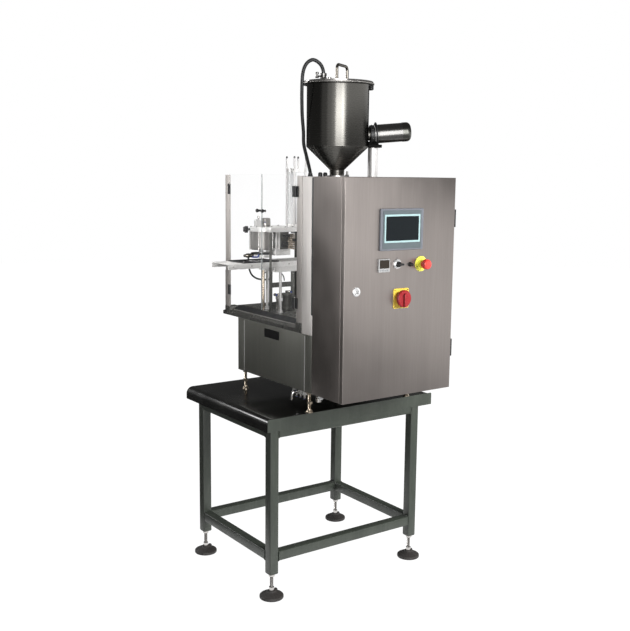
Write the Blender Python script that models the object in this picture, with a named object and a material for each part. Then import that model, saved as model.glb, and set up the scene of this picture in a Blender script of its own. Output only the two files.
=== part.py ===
"""Cup filling and sealing machine on a square-tube stand.

Metres, +Z up. X runs to the right along the cabinet door, +Y runs from the door towards the
sealing bay, and the floor is z = 0. The origin is the middle of the whole object's footprint.
"""

import bpy
import bmesh
from math import asin, cos, pi, radians, sin, tan
from mathutils import Matrix, Vector

GAP = 0.0003  # clearance between pieces that rest on or sit beside each other

# Stand
TUBE = 0.040
TUBE_WALL = 0.002
FRAME_WIDTH = 0.761
FRAME_DEPTH = 0.585
LEG_BOTTOM = 0.104
STRETCHER_TOP = 0.194
RAIL_TOP = 0.700
TOP_WIDTH = 0.847
TOP_DEPTH = 0.672
TOP_HEIGHT = 0.740
TOP_SKIRT = 0.052
TOP_ROLL = 0.030
TOP_LEFT_OVERHANG = 0.015
TOP_FRONT_LIP = 0.0025
STAND_FOOT_RADIUS = 0.049
STAND_STUD_RADIUS = 0.007

# Cabinet
CABINET_WIDTH = 0.546
CABINET_DEPTH = 0.200
CABINET_HEIGHT = 0.844
SHEET = 0.002
DOOR_DEPTH = 0.020
CABINET_FRONT_OVERHANG = 0.231  # how far the door stands in front of the stand's top
MACHINE_FOOT_HEIGHT = 0.085
MACHINE_INSET = 0.168  # from the stand's left legs to the cabinet's left side

# Base, bay and tray
BASE_DEPTH = 0.558
BASE_HEIGHT = 0.231
FOOT_PLATE = 0.045
FRONT_FOOT = 0.038
REAR_FOOT = 0.030
SPACER = 0.012
BAY_WALL_DEPTH = 0.061
TRAY_DEPTH = 0.618
TRAY_EDGE = 0.015
TRAY_RIM = 0.040
TRAY_BEVEL = 0.045
TRAY_NEAR_BEVEL = 0.010
TRAY_RIM_WIDTH = 0.004
TRAY_FLOOR = 0.019
POST_WIDTH = 0.035
POST_THICKNESS = 0.006
POST_HEIGHT = 0.575

# Guard doors
PANEL = 0.005
GUARD_BOTTOM = 0.289
GUARD_TOP = 0.851
GUARD_SPLIT = 0.003
GUARD_MEETING = 0.2515  # from the near post to the line where the doors meet
HINGE_HEIGHT = 0.043
HINGE_KNUCKLE = 0.0045
WINDOW_SIDE_GAP = 0.022

# Slide and seal head
SLIDE_LENGTH = 0.440
SLIDE_WIDTH = 0.140
SLIDE_SKIRT = 0.023
SLIDE_SHEET = 0.003
SLIDE_LEFT = -0.105
SLIDE_LEVEL = 0.475
STATION_Y = 0.733
HEAD_X = 0.101
NEST_X = 0.062
NEST_LENGTH = 0.179
NEST_THICKNESS = 0.004
CUP_HOLE_RADIUS = 0.042
COLUMN_RADIUS = 0.006
HEAD_TOP = 0.625
HEAD_PLATE = 0.020
SEAL_CYLINDER_RADIUS = 0.047
SEAL_CYLINDER_HEIGHT = 0.079
SEAL_CAP_RADIUS = 0.053
PILLAR_X = 0.090
PILLAR = 0.008
SEAL_DIE_RADIUS = 0.045
SEAL_DIE_HEIGHT = 0.020
RAM_RADIUS = 0.0095
MAGAZINE_X = 0.277
SLEEVE_RADIUS = 0.042
SLEEVE_WALL = 0.003
SLEEVE_HEIGHT = 0.256
MAGAZINE_ROD_HEIGHT = 0.318

# Hopper and agitator
HOPPER_X = 0.052
HOPPER_Y = 0.123
HOPPER_RADIUS = 0.1155
HOPPER_WALL = 0.002
HOPPER_NECK_RADIUS = 0.027
NECK_HEIGHT = 0.026
CONE_HEIGHT = 0.084
BARREL_HEIGHT = 0.224
RIM_WIDTH = 0.0175
RIM_THICKNESS = 0.008
LID_THICKNESS = 0.004
LID_TURN = radians(31)
LID_HINGE_RISE = 0.007
HANDLE_LENGTH = 0.100
HANDLE_HEIGHT = 0.059
HOSE_RADIUS = 0.0065
MOTOR_RADIUS = 0.0345
MOTOR_CAP_LENGTH = 0.032
MOTOR_LENGTH = 0.128
MOTOR_TILT = radians(5)
MOTOR_TURN = radians(-30)
MOTOR_HEIGHT = 0.157  # axis above the cabinet roof, where the collar starts
COLLAR_GAP = 0.0065  # from the hopper's wall
COLLAR_LENGTH = 0.025
COLLAR_RADIUS = 0.034
COLLAR_FLANGE_RADIUS = 0.0435
COLLAR_FLANGE = 0.004
SHAFT_RADIUS = 0.006
SHAFT_HOLE_RADIUS = 0.0075
POST_RADIUS = 0.0185
SADDLE_HEIGHT = 0.024
SADDLE_WIDTH = 0.048

# Door furniture: (distance from the door's left edge, height above its bottom edge)
PANEL_AT = (0.266, 0.649)
PANEL_SIZE = (0.214, 0.158)
COUNTER_AT = (0.1865, 0.5145)
COUNTER_SIZE = (0.063, 0.053)
SELECTOR_AT = (0.252, 0.517)
BUTTON_AT = (0.318, 0.513)
STOP_AT = (0.372, 0.513)
SWITCH_AT = (0.2745, 0.384)
SWITCH_PLATE = 0.077
LOCK_AT = (0.057, 0.422)
STOP_REACH = 0.046
DOOR_HINGE_HEIGHTS = (0.164, 0.685)

# Places worked out from the sizes above
FRONT_Y = (STOP_REACH - CABINET_FRONT_OVERHANG - TOP_DEPTH) / 2
MACHINE_Z = TOP_HEIGHT + MACHINE_FOOT_HEIGHT
FOOT_REACH = STAND_FOOT_RADIUS - TUBE / 2
LEFT_REACH = max(TOP_LEFT_OVERHANG, FOOT_REACH)
RIGHT_REACH = max(TOP_WIDTH - TOP_LEFT_OVERHANG, FRAME_WIDTH + FOOT_REACH)
FRAME_LEFT = (LEFT_REACH - RIGHT_REACH) / 2
TOP_LEFT = FRAME_LEFT - TOP_LEFT_OVERHANG
MACHINE_X = FRAME_LEFT + MACHINE_INSET
TOP_FRONT = FRONT_Y + CABINET_FRONT_OVERHANG
FRAME_FRONT = TOP_FRONT + TOP_FRONT_LIP
BASE_FRONT = CABINET_DEPTH + 0.003
WALL_FRONT = CABINET_DEPTH + SPACER
WALL_BACK = WALL_FRONT + BAY_WALL_DEPTH
BASE_BACK = BASE_FRONT + BASE_DEPTH
TRAY_FRONT = WALL_BACK + 0.002
TRAY_BACK = TRAY_FRONT + TRAY_DEPTH
RIM_LEVEL = BASE_HEIGHT + TRAY_RIM
FLOOR_LEVEL = BASE_HEIGHT + TRAY_FLOOR
NEAR_POST = (TRAY_FRONT, TRAY_FRONT + POST_WIDTH)
FAR_POST = (TRAY_BACK - 0.060, TRAY_BACK - 0.060 + POST_WIDTH)
SLIDE_NEAR = STATION_Y - SLIDE_WIDTH / 2
SLIDE_FAR = STATION_Y + SLIDE_WIDTH / 2
BED_LEVEL = SLIDE_LEVEL - SLIDE_SKIRT
HEAD_BOTTOM = HEAD_TOP - HEAD_PLATE - SEAL_CYLINDER_HEIGHT - GAP
CABINET_ROOF = CABINET_HEIGHT
RIM_RADIUS = HOPPER_RADIUS + RIM_WIDTH
COLLAR_START = HOPPER_RADIUS + COLLAR_GAP
CONE_LEVEL = CABINET_ROOF + NECK_HEIGHT
BARREL_LEVEL = CONE_LEVEL + CONE_HEIGHT
RIM_TOP = BARREL_LEVEL + BARREL_HEIGHT + RIM_THICKNESS


def clear_scene():
    for obj in list(bpy.data.objects):
        bpy.data.objects.remove(obj, do_unlink=True)


def material(name, colour, roughness, metallic):
    made = bpy.data.materials.new(name)
    made.use_nodes = True
    shader = made.node_tree.nodes["Principled BSDF"]
    shader.inputs["Base Color"].default_value = (*colour, 1)
    shader.inputs["Roughness"].default_value = roughness
    shader.inputs["Metallic"].default_value = metallic
    made.diffuse_color = (*colour, 1)
    return made


def make_materials():
    return {
        "stand_paint": material("stand_paint", (0.36, 0.39, 0.36), 0.45, 0.3),
        "worktop": material("worktop", (0.03, 0.03, 0.035), 0.12, 0.2),
        "brushed": material("brushed", (0.55, 0.53, 0.51), 0.35, 1.0),
        "dark_steel": material("dark_steel", (0.12, 0.12, 0.11), 0.3, 0.9),
        "polished": material("polished", (0.75, 0.74, 0.72), 0.12, 1.0),
        "aluminium": material("aluminium", (0.72, 0.71, 0.7), 0.35, 1.0),
        "black_plastic": material("black_plastic", (0.02, 0.02, 0.022), 0.45, 0.0),
        "rubber": material("rubber", (0.03, 0.03, 0.03), 0.8, 0.0),
        "clear": material("clear", (0.9, 0.92, 0.92), 0.05, 0.0),
        "lilac": material("lilac", (0.7, 0.68, 0.76), 0.4, 0.0),
        "yellow": material("yellow", (0.85, 0.68, 0.05), 0.4, 0.0),
        "red": material("red", (0.6, 0.03, 0.03), 0.35, 0.0),
        "copper": material("copper", (0.6, 0.4, 0.22), 0.35, 1.0),
        "chrome": material("chrome", (0.8, 0.8, 0.8), 0.08, 1.0),
    }


def at(x, y, z):
    """A point given from the cabinet's lower left front corner, in world coordinates."""
    return Vector((MACHINE_X + x, FRONT_Y + y, MACHINE_Z + z))


def finish(name, mesh_data, slot, place=(0, 0, 0), parent=None, turn=None):
    """Makes the object, with its own origin at place, in world coordinates."""
    bmesh.ops.recalc_face_normals(mesh_data, faces=mesh_data.faces)
    mesh = bpy.data.meshes.new(name)
    mesh_data.to_mesh(mesh)
    mesh_data.free()
    mesh.shade_smooth()
    mesh.set_sharp_from_angle(angle=radians(35))
    obj = bpy.data.objects.new(name, mesh)
    bpy.context.scene.collection.objects.link(obj)
    mesh.materials.append(MATERIALS[slot])
    if turn:
        obj.rotation_euler = turn
    attach(obj, place, parent)
    return obj


def attach(obj, place, parent):
    obj.location = place
    if parent:
        obj.parent = parent
    while parent:
        obj.location = obj.location - parent.location
        parent = parent.parent


def pivot(name, place, parent=None):
    """An empty on a joint's axis, which carries what moves with the joint."""
    empty = bpy.data.objects.new(name, None)
    bpy.context.scene.collection.objects.link(empty)
    attach(empty, place, parent)
    return empty


def box(name, slot, x, y, z, parent=None):
    """A box between the given pairs of world coordinates, with its origin in its middle."""
    mesh_data = bmesh.new()
    size = (x[1] - x[0], y[1] - y[0], z[1] - z[0])
    bmesh.ops.create_cube(mesh_data, size=1, matrix=Matrix.Diagonal((*size, 1)))
    middle = ((x[0] + x[1]) / 2, (y[0] + y[1]) / 2, (z[0] + z[1]) / 2)
    return finish(name, mesh_data, slot, middle, parent)


def machine_box(name, slot, x, y, z, parent=None):
    low, high = at(x[0], y[0], z[0]), at(x[1], y[1], z[1])
    return box(name, slot, (low.x, high.x), (low.y, high.y), (low.z, high.z), parent)


def grid_solid(name, slot, xs, ys, zs, filled, place=(0, 0, 0), parent=None):
    """The cells of a grid that filled(i, j, k) keeps, as one closed skin."""
    mesh_data = bmesh.new()
    points = {}
    counts = (len(xs) - 1, len(ys) - 1, len(zs) - 1)

    def point(i, j, k):
        if (i, j, k) not in points:
            points[i, j, k] = mesh_data.verts.new((xs[i], ys[j], zs[k]))
        return points[i, j, k]

    def kept(cell):
        inside = all(0 <= c < n for c, n in zip(cell, counts))
        return inside and bool(filled(*cell))

    cells = [(i, j, k) for i in range(counts[0]) for j in range(counts[1]) for k in range(counts[2])]
    for cell in filter(kept, cells):
        for axis in range(3):
            for side in (0, 1):
                beside = list(cell)
                beside[axis] += 1 if side else -1
                if kept(tuple(beside)):
                    continue
                u, v = [other for other in range(3) if other != axis]
                corners = []
                for du, dv in ((0, 0), (1, 0), (1, 1), (0, 1)):
                    corner = list(cell)
                    corner[axis] += side
                    corner[u] += du
                    corner[v] += dv
                    corners.append(point(*corner))
                mesh_data.faces.new(corners)
    return finish(name, mesh_data, slot, place, parent)


def turned(name, slot, profile, place, parent=None, turn=None, sides=24, ring=False):
    """A profile of (radius, height) turned about Z. A ring's profile closes on itself."""
    mesh_data = bmesh.new()
    loops = []
    for radius, height in profile:
        if radius < 1e-6:
            loops.append([mesh_data.verts.new((0, 0, height))])
            continue
        angles = [2 * pi * s / sides for s in range(sides)]
        loops.append([mesh_data.verts.new((radius * cos(a), radius * sin(a), height)) for a in angles])
    pairs = list(zip(loops, loops[1:] + loops[:1])) if ring else list(zip(loops, loops[1:]))
    for lower, upper in pairs:
        for s in range(sides):
            n = (s + 1) % sides
            if len(lower) == 1 and len(upper) == 1:
                continue
            if len(lower) == 1:
                mesh_data.faces.new((lower[0], upper[s], upper[n]))
            elif len(upper) == 1:
                mesh_data.faces.new((lower[s], lower[n], upper[0]))
            else:
                mesh_data.faces.new((lower[s], lower[n], upper[n], upper[s]))
    return finish(name, mesh_data, slot, place, parent, turn)


def rod(name, slot, radius, length, place, parent=None, turn=None, sides=12):
    """A cylinder that rises from place along its own Z."""
    profile = [(0, 0), (radius, 0), (radius, length), (0, length)]
    return turned(name, slot, profile, place, parent, turn, sides)


def prism(name, slot, outline, depth, place=(0, 0, 0), parent=None, turn=None):
    """An outline in X and Z, extruded by depth along +Y."""
    mesh_data = bmesh.new()
    front = [mesh_data.verts.new((x, 0, z)) for x, z in outline]
    back = [mesh_data.verts.new((x, depth, z)) for x, z in outline]
    mesh_data.faces.new(front)
    mesh_data.faces.new(back)
    for n in range(len(outline)):
        m = (n + 1) % len(outline)
        mesh_data.faces.new((front[n], front[m], back[m], back[n]))
    return finish(name, mesh_data, slot, place, parent, turn)


def arc(centre, radius, start, end, steps):
    angles = [radians(start + (end - start) * n / steps) for n in range(steps + 1)]
    return [(centre[0] + radius * cos(a), centre[1] + radius * sin(a)) for a in angles]


def smooth_route(points, steps):
    """Points on a smooth curve through the given ones."""
    route = []
    padded = [points[0]] + points + [points[-1]]
    for a, b, c, d in zip(padded, padded[1:], padded[2:], padded[3:]):
        for n in range(steps):
            t = n / steps
            route.append(0.5 * (2 * b + (c - a) * t + (2 * a - 5 * b + 4 * c - d) * t**2
                                + (3 * b - a - 3 * c + d) * t**3))
    return route + [points[-1]]


def tube(name, slot, points, radius, parent=None):
    curve = bpy.data.curves.new(name, "CURVE")
    curve.dimensions = "3D"
    curve.bevel_depth = radius
    curve.bevel_resolution = 2
    curve.use_fill_caps = True
    spline = curve.splines.new("POLY")
    spline.points.add(len(points) - 1)
    origin = points[0]
    for item, point in zip(spline.points, points):
        item.co = (*(point - origin), 1)
    curve.materials.append(MATERIALS[slot])
    obj = bpy.data.objects.new(name, curve)
    bpy.context.scene.collection.objects.link(obj)
    attach(obj, origin, parent)
    return obj


def boolean(base, operation, others):
    for other in others:
        other.hide_render = True
        other.display_type = "WIRE"
        modifier = base.modifiers.new(operation.lower(), "BOOLEAN")
        modifier.operation = operation
        modifier.solver = "EXACT"
        modifier.object = other
    return base


def join(base, *others):
    return boolean(base, "UNION", others)


def cut(base, *cutters):
    return boolean(base, "DIFFERENCE", cutters)


# ---------------------------------------------------------------- stand


def make_table_frame():
    def wall_lines(low, high):
        return [low, low + TUBE_WALL, low + TUBE - TUBE_WALL, low + TUBE,
                high - TUBE, high - TUBE + TUBE_WALL, high - TUBE_WALL, high]

    xs = wall_lines(0, FRAME_WIDTH)
    ys = wall_lines(0, FRAME_DEPTH)
    stretcher = STRETCHER_TOP - TUBE
    rail = RAIL_TOP - TUBE
    zs = [LEG_BOTTOM]
    for low in (stretcher, rail):
        zs += [low, low + TUBE_WALL, low + TUBE - TUBE_WALL, low + TUBE]

    def filled(i, j, k):
        across, along = i != 3, j != 3
        core_x, core_y, core_z = i in (1, 5), j in (1, 5), k in (2, 6)
        if across and along:
            if core_z and (core_x or core_y) and (i in (1, 2, 4, 5) and j in (1, 2, 4, 5)):
                return False
            return not (core_x and core_y) or k == 7
        if across or along:
            core = core_x if across else core_y
            return k in (1, 2, 3, 5, 6, 7) and not (core and core_z)
        return False

    grid_solid("table_frame", "stand_paint", xs, ys, zs, filled, (FRAME_LEFT, FRAME_FRONT, 0))


def make_table_top():
    low = TOP_HEIGHT - TOP_SKIRT
    roll = TOP_HEIGHT - TOP_ROLL
    outline = [(0, low), (TOP_WIDTH, low)]
    outline += arc((TOP_WIDTH - TOP_ROLL, roll), TOP_ROLL, 0, 90, 5)
    outline += arc((TOP_ROLL, roll), TOP_ROLL, 90, 180, 5)
    top = prism("table_top", "worktop", outline, TOP_DEPTH, (TOP_LEFT, TOP_FRONT, 0))
    pocket = box("frame_pocket", "worktop",
                 (FRAME_LEFT - 2 * GAP, FRAME_LEFT + FRAME_WIDTH + 2 * GAP),
                 (FRAME_FRONT - 2 * GAP, FRAME_FRONT + FRAME_DEPTH + 2 * GAP),
                 (low - 0.01, RAIL_TOP + GAP))
    cut(top, pocket)


def make_stand_feet():
    """A rubber-faced disc, its threaded stud with a nut, and the plug that holds it in the leg."""
    stud = STAND_STUD_RADIUS
    top = LEG_BOTTOM - 0.004
    profile = [(0, 0), (STAND_FOOT_RADIUS - 0.003, 0), (STAND_FOOT_RADIUS, 0.004),
               (STAND_FOOT_RADIUS, 0.010), (0.034, 0.019), (0.013, 0.024), (stud, 0.028),
               (stud, top - 0.014), (0.012, top - 0.012), (0.012, top - 0.002),
               (stud, top), (stud, LEG_BOTTOM + 0.010), (0, LEG_BOTTOM + 0.010)]
    inner = TUBE - 2 * TUBE_WALL - 2 * GAP
    for side, x in (("left", TUBE / 2), ("right", FRAME_WIDTH - TUBE / 2)):
        for row, y in (("front", TUBE / 2), ("rear", FRAME_DEPTH - TUBE / 2)):
            x0, y0 = FRAME_LEFT + x, FRAME_FRONT + y
            name = f"stand_foot_{row}_{side}"
            foot = turned(name, "rubber", profile, (x0, y0, 0), sides=20)
            plug = box(name + "_plug", "rubber", (x0 - inner / 2, x0 + inner / 2),
                       (y0 - inner / 2, y0 + inner / 2), (LEG_BOTTOM - 0.003, LEG_BOTTOM + 0.020))
            join(foot, plug)


# ---------------------------------------------------------------- machine base


def make_base():
    """A folded box, open below but for a plate in each corner, with a cover in its left side."""
    w, t, pad = CABINET_WIDTH, SHEET, FOOT_PLATE
    cover = (BASE_FRONT + 0.043, BASE_BACK - 0.049)
    xs = [0, t, pad, w - pad, w - t, w]
    ys = [BASE_FRONT, BASE_FRONT + t, cover[0], BASE_FRONT + FRONT_FOOT + 0.020,
          BASE_BACK - REAR_FOOT - 0.020, cover[1], BASE_BACK - t, BASE_BACK]
    zs = [0, t, BASE_HEIGHT - t, BASE_HEIGHT]

    def filled(i, j, k):
        if k == 2 or i == 4 or j in (0, 6):
            return True
        if i == 0:
            return j in (1, 5)
        return k == 0 and i in (1, 3) and j != 3

    grid_solid("base_box", "dark_steel", xs, ys, zs, filled, at(0, 0, 0))
    machine_box("base_side_cover", "dark_steel", (0, t - GAP), (cover[0] + GAP, cover[1] - GAP),
                (0, BASE_HEIGHT - t - GAP))


def make_machine_feet():
    h = MACHINE_FOOT_HEIGHT
    profile = [(0, GAP), (0.014, GAP), (0.014, 0.004), (0.008, 0.012), (0.0065, 0.014),
               (0.0065, h * 0.42), (0.012, h * 0.42 + 0.001), (0.012, h * 0.42 + 0.009),
               (0.0065, h * 0.42 + 0.010), (0.0065, h - GAP), (0, h - GAP)]
    bottom = -MACHINE_FOOT_HEIGHT
    middle = 0.020
    for side, x in (("left", middle), ("right", CABINET_WIDTH - middle)):
        for row, y in (("front", BASE_FRONT + FRONT_FOOT), ("rear", BASE_BACK - REAR_FOOT)):
            turned(f"machine_foot_{row}_{side}", "polished", profile, at(x, y, bottom), sides=14)


def make_air_manifold():
    """The air inlet block under the near left corner, with three push-in fittings."""
    x, y, top = 0.040, BASE_FRONT + 0.090, -GAP
    block = machine_box("air_manifold", "aluminium", (x - 0.014, x + 0.014), (y, y + 0.080),
                        (top - 0.026, top))
    for n, (dy, low) in enumerate(((0.012, 0.046), (0.040, 0.040), (0.068, 0.052))):
        fitting = rod(f"manifold_fitting_{n}", "aluminium", 0.008, low - 0.010,
                      at(x, y + dy, top - low), sides=10)
        join(block, fitting)
    side = rod("manifold_inlet", "aluminium", 0.007, 0.030, at(x, y + 0.010, top - 0.013),
               turn=(radians(90), 0, 0), sides=10)
    join(block, side)


def make_tray():
    """A folded sheet: a straight edge, a bevel up to the rim, and a sunken floor."""
    w, b, t = CABINET_WIDTH, TRAY_BEVEL, SHEET
    y0, y1 = TRAY_FRONT, TRAY_BACK
    low, edge, top, floor = BASE_HEIGHT + GAP, BASE_HEIGHT + TRAY_EDGE, RIM_LEVEL, FLOOR_LEVEL
    rim = b + TRAY_RIM_WIDTH
    outside = [(0, low), (0, edge), (b, top), (rim, top), (rim, floor)]
    underside = [(rim - t, floor - t), (rim - t, top - t), (b, top - t), (t, edge), (t, low)]
    mesh_data = bmesh.new()
    rings = []
    for inset, z in outside + underside:
        near = y0 + min(inset, TRAY_NEAR_BEVEL) + max(0, inset - b)
        corners = [(inset, near), (w - inset, near), (w - inset, y1 - inset), (inset, y1 - inset)]
        rings.append([mesh_data.verts.new((x, y, z)) for x, y in corners])
    floor_top, floor_under = len(outside) - 1, len(outside)
    mesh_data.faces.new(rings[floor_top])
    mesh_data.faces.new(rings[floor_under])
    for n, (lower, upper) in enumerate(zip(rings, rings[1:] + rings[:1])):
        if n == floor_top:
            continue
        for side in range(4):
            beside = (side + 1) % 4
            mesh_data.faces.new((lower[side], lower[beside], upper[beside], upper[side]))
    tray = finish("tray", mesh_data, "dark_steel", at(0, 0, 0))
    for name, post in (("near", NEAR_POST), ("far", FAR_POST)):
        pad = machine_box(f"{name}_post_pad", "dark_steel", (-0.001, b + 0.002),
                          (post[0] + 0.001, post[1] + 0.004), (low + 0.004, top - GAP))
        join(tray, pad)


def make_bay_wall():
    """The hollow wall between the cabinet and the bay, open at its underside."""
    w, t = CABINET_WIDTH, SHEET
    step = RIM_LEVEL + 0.040
    xs = [0, t, w - t, w]
    ys = [BASE_FRONT, BASE_FRONT + t, WALL_FRONT, WALL_FRONT + t, WALL_BACK - t, WALL_BACK]
    zs = [BASE_HEIGHT + GAP, step - t, step, CABINET_HEIGHT - t, CABINET_HEIGHT]

    def filled(i, j, k):
        if k == 0:
            return i in (0, 2) or j in (0, 4)
        if k == 1:
            return i in (0, 2) or j in (0, 1, 2, 4)
        if j < 2:
            return False
        return k == 3 or i in (0, 2) or j in (2, 4)

    grid_solid("bay_wall", "brushed", xs, ys, zs, filled, at(0, 0, 0))


# ---------------------------------------------------------------- guard


def make_posts():
    z0, z1 = RIM_LEVEL, RIM_LEVEL + POST_HEIGHT
    machine_box("near_post", "dark_steel", (0, POST_THICKNESS), NEAR_POST, (z0, z1))
    wide = FAR_POST[1] + 0.004
    shoulder = SLIDE_LEVEL - 0.045
    xs = [0, POST_THICKNESS]
    ys = [*FAR_POST, wide]
    zs = [z0, shoulder, z1]
    grid_solid("far_post", "dark_steel", xs, ys, zs, lambda i, j, k: j == 0 or k == 0, at(0, 0, 0))


def guard_hinge(door, level, post, inward):
    """One half of a hinge: the leaf on the post and its knuckle. inward is +1 towards +Y."""
    edge = post[1] if inward > 0 else post[0]
    axis_y = edge + inward * 0.005
    name = f"guard_hinge_{door}_{level}"
    heights = {"upper": GUARD_TOP - 0.066, "lower": GUARD_BOTTOM + 0.058}
    z0 = heights[level] - HINGE_HEIGHT / 2
    leaf_y = sorted((edge - inward * 0.024, axis_y - inward * 0.0015))
    leaf = machine_box(name, "black_plastic", (-0.0035, -GAP), leaf_y, (z0, z0 + HINGE_HEIGHT))
    knuckle = rod(name + "_knuckle", "black_plastic", HINGE_KNUCKLE, HINGE_HEIGHT,
                  at(-0.006, axis_y, z0), sides=12)
    join(leaf, knuckle)
    return axis_y, z0


def make_guard_door(door, post, inward):
    axis_y = None
    for level in ("upper", "lower"):
        axis_y, _ = guard_hinge(door, level, post, inward)
    axis = pivot(f"{door}_door_axis", at(-0.006, axis_y, GUARD_BOTTOM))
    middle = NEAR_POST[1] + GUARD_MEETING
    inner = axis_y + inward * (HINGE_KNUCKLE + 0.0008)
    outer = middle - inward * GUARD_SPLIT / 2
    ys = sorted((inner, outer))
    x = (-0.006, -0.006 + PANEL)
    if door == "near":
        panel = machine_box("guard_door_near", "clear", x, ys, (GUARD_BOTTOM, GUARD_TOP), axis)
    else:
        reach = ((SLIDE_FAR - SLIDE_NEAR) ** 2 + SLIDE_LEFT**2) ** 0.5
        window = (min(SLIDE_NEAR - WINDOW_SIDE_GAP, axis_y - reach - 0.060), SLIDE_FAR + 0.012)
        lines = [ys[0], max(window[0], ys[0] + 0.020), min(window[1], ys[1] - 0.012), ys[1]]
        local = axis.location
        panel = grid_solid(
            "guard_door_far", "clear", [at(x[0], 0, 0).x - local.x, at(x[1], 0, 0).x - local.x],
            [at(0, y, 0).y - local.y for y in lines],
            [at(0, 0, z).z - local.z for z in (GUARD_BOTTOM, BED_LEVEL - 0.030, SLIDE_LEVEL + 0.055,
                                               GUARD_TOP)],
            lambda i, j, k: not (j == 1 and k == 1), local, axis)
    return panel


# ---------------------------------------------------------------- slide and head


def make_slide_stand():
    """Two rails on four columns, with a long slot between them for the cups."""
    x0, x1 = SLIDE_LEFT + 0.235, SLIDE_LEFT + SLIDE_LENGTH + 0.065
    rail = 0.018
    y = (SLIDE_NEAR + 0.003, SLIDE_FAR - 0.003)
    xs = [x0, x0 + 0.020, x1 - 0.020, x1]
    ys = [y[0], y[0] + rail, y[1] - rail, y[1]]
    zs = [BED_LEVEL - 0.022, BED_LEVEL - GAP]
    bed = grid_solid("slide_stand", "polished", xs, ys, zs, lambda i, j, k: i != 1 or j != 1,
                     at(0, 0, 0))
    foot = FLOOR_LEVEL + GAP
    for n, x in enumerate((x0 + 0.032, x1 - 0.032)):
        for m, cy in enumerate((y[0] + rail / 2, y[1] - rail / 2)):
            profile = [(0, 0), (0.011, 0), (0.011, 0.010), (COLUMN_RADIUS, 0.011),
                       (COLUMN_RADIUS, BED_LEVEL - 0.012 - foot), (0, BED_LEVEL - 0.012 - foot)]
            column = turned(f"slide_column_{n}_{m}", "polished", profile, at(x, cy, foot), sides=12)
            join(bed, column)


def make_station_bracket():
    """A dark plate with windows behind the slide, which carries the fittings and the lead."""
    y = (SLIDE_FAR + 0.010, SLIDE_FAR + 0.018)
    x0 = 0.197
    xs = [x0, x0 + 0.014, x0 + 0.118, x0 + 0.134]
    floor = FLOOR_LEVEL + GAP
    zs = [floor, floor + 0.016, BED_LEVEL - 0.110, BED_LEVEL - 0.088, BED_LEVEL - 0.030, BED_LEVEL]
    grid_solid("station_bracket", "dark_steel", xs, list(y), zs,
               lambda i, j, k: i != 1 or k in (0, 2, 4), at(0, 0, 0))


def make_cup_lifter():
    floor = FLOOR_LEVEL + GAP
    profile = [(0, 0), (0.026, 0), (0.026, 0.014), (0.021, 0.015), (0.021, 0.062),
               (0.026, 0.063), (0.026, 0.074), (0.008, 0.075), (0.008, 0.086), (0, 0.086)]
    turned("cup_lifter", "dark_steel", profile, at(MAGAZINE_X - 0.040, STATION_Y, floor), sides=20)


def make_slide():
    axis = pivot("slide_axis", at(SLIDE_LEFT, STATION_Y, SLIDE_LEVEL))
    t, hole = SLIDE_SHEET, CUP_HOLE_RADIUS
    x0, x1 = SLIDE_LEFT, SLIDE_LEFT + SLIDE_LENGTH
    local = [(SLIDE_NEAR, SLIDE_NEAR + t, SLIDE_FAR - t, SLIDE_FAR), (BED_LEVEL, SLIDE_LEVEL - t, SLIDE_LEVEL)]
    plate = grid_solid("slide_plate", "aluminium", [x0 - SLIDE_LEFT, x1 - SLIDE_LEFT],
                       [y - STATION_Y for y in local[0]], [z - SLIDE_LEVEL for z in local[1]],
                       lambda i, j, k: j != 1 or k == 1, axis.location, axis)
    nest_x = (NEST_X - NEST_LENGTH / 2, NEST_X + NEST_LENGTH / 2)
    top = SLIDE_LEVEL + GAP
    nest = machine_box("cup_nest", "black_plastic", nest_x, (SLIDE_NEAR + 0.005, SLIDE_FAR - 0.005),
                       (top, top + NEST_THICKNESS), axis)
    for target, radius in ((plate, hole + 0.001), (nest, hole)):
        cutter = rod(target.name + "_hole", "aluminium", radius, 0.040,
                     at(NEST_X, STATION_Y, SLIDE_LEVEL - 0.020), axis, sides=28)
        cut(target, cutter)


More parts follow.
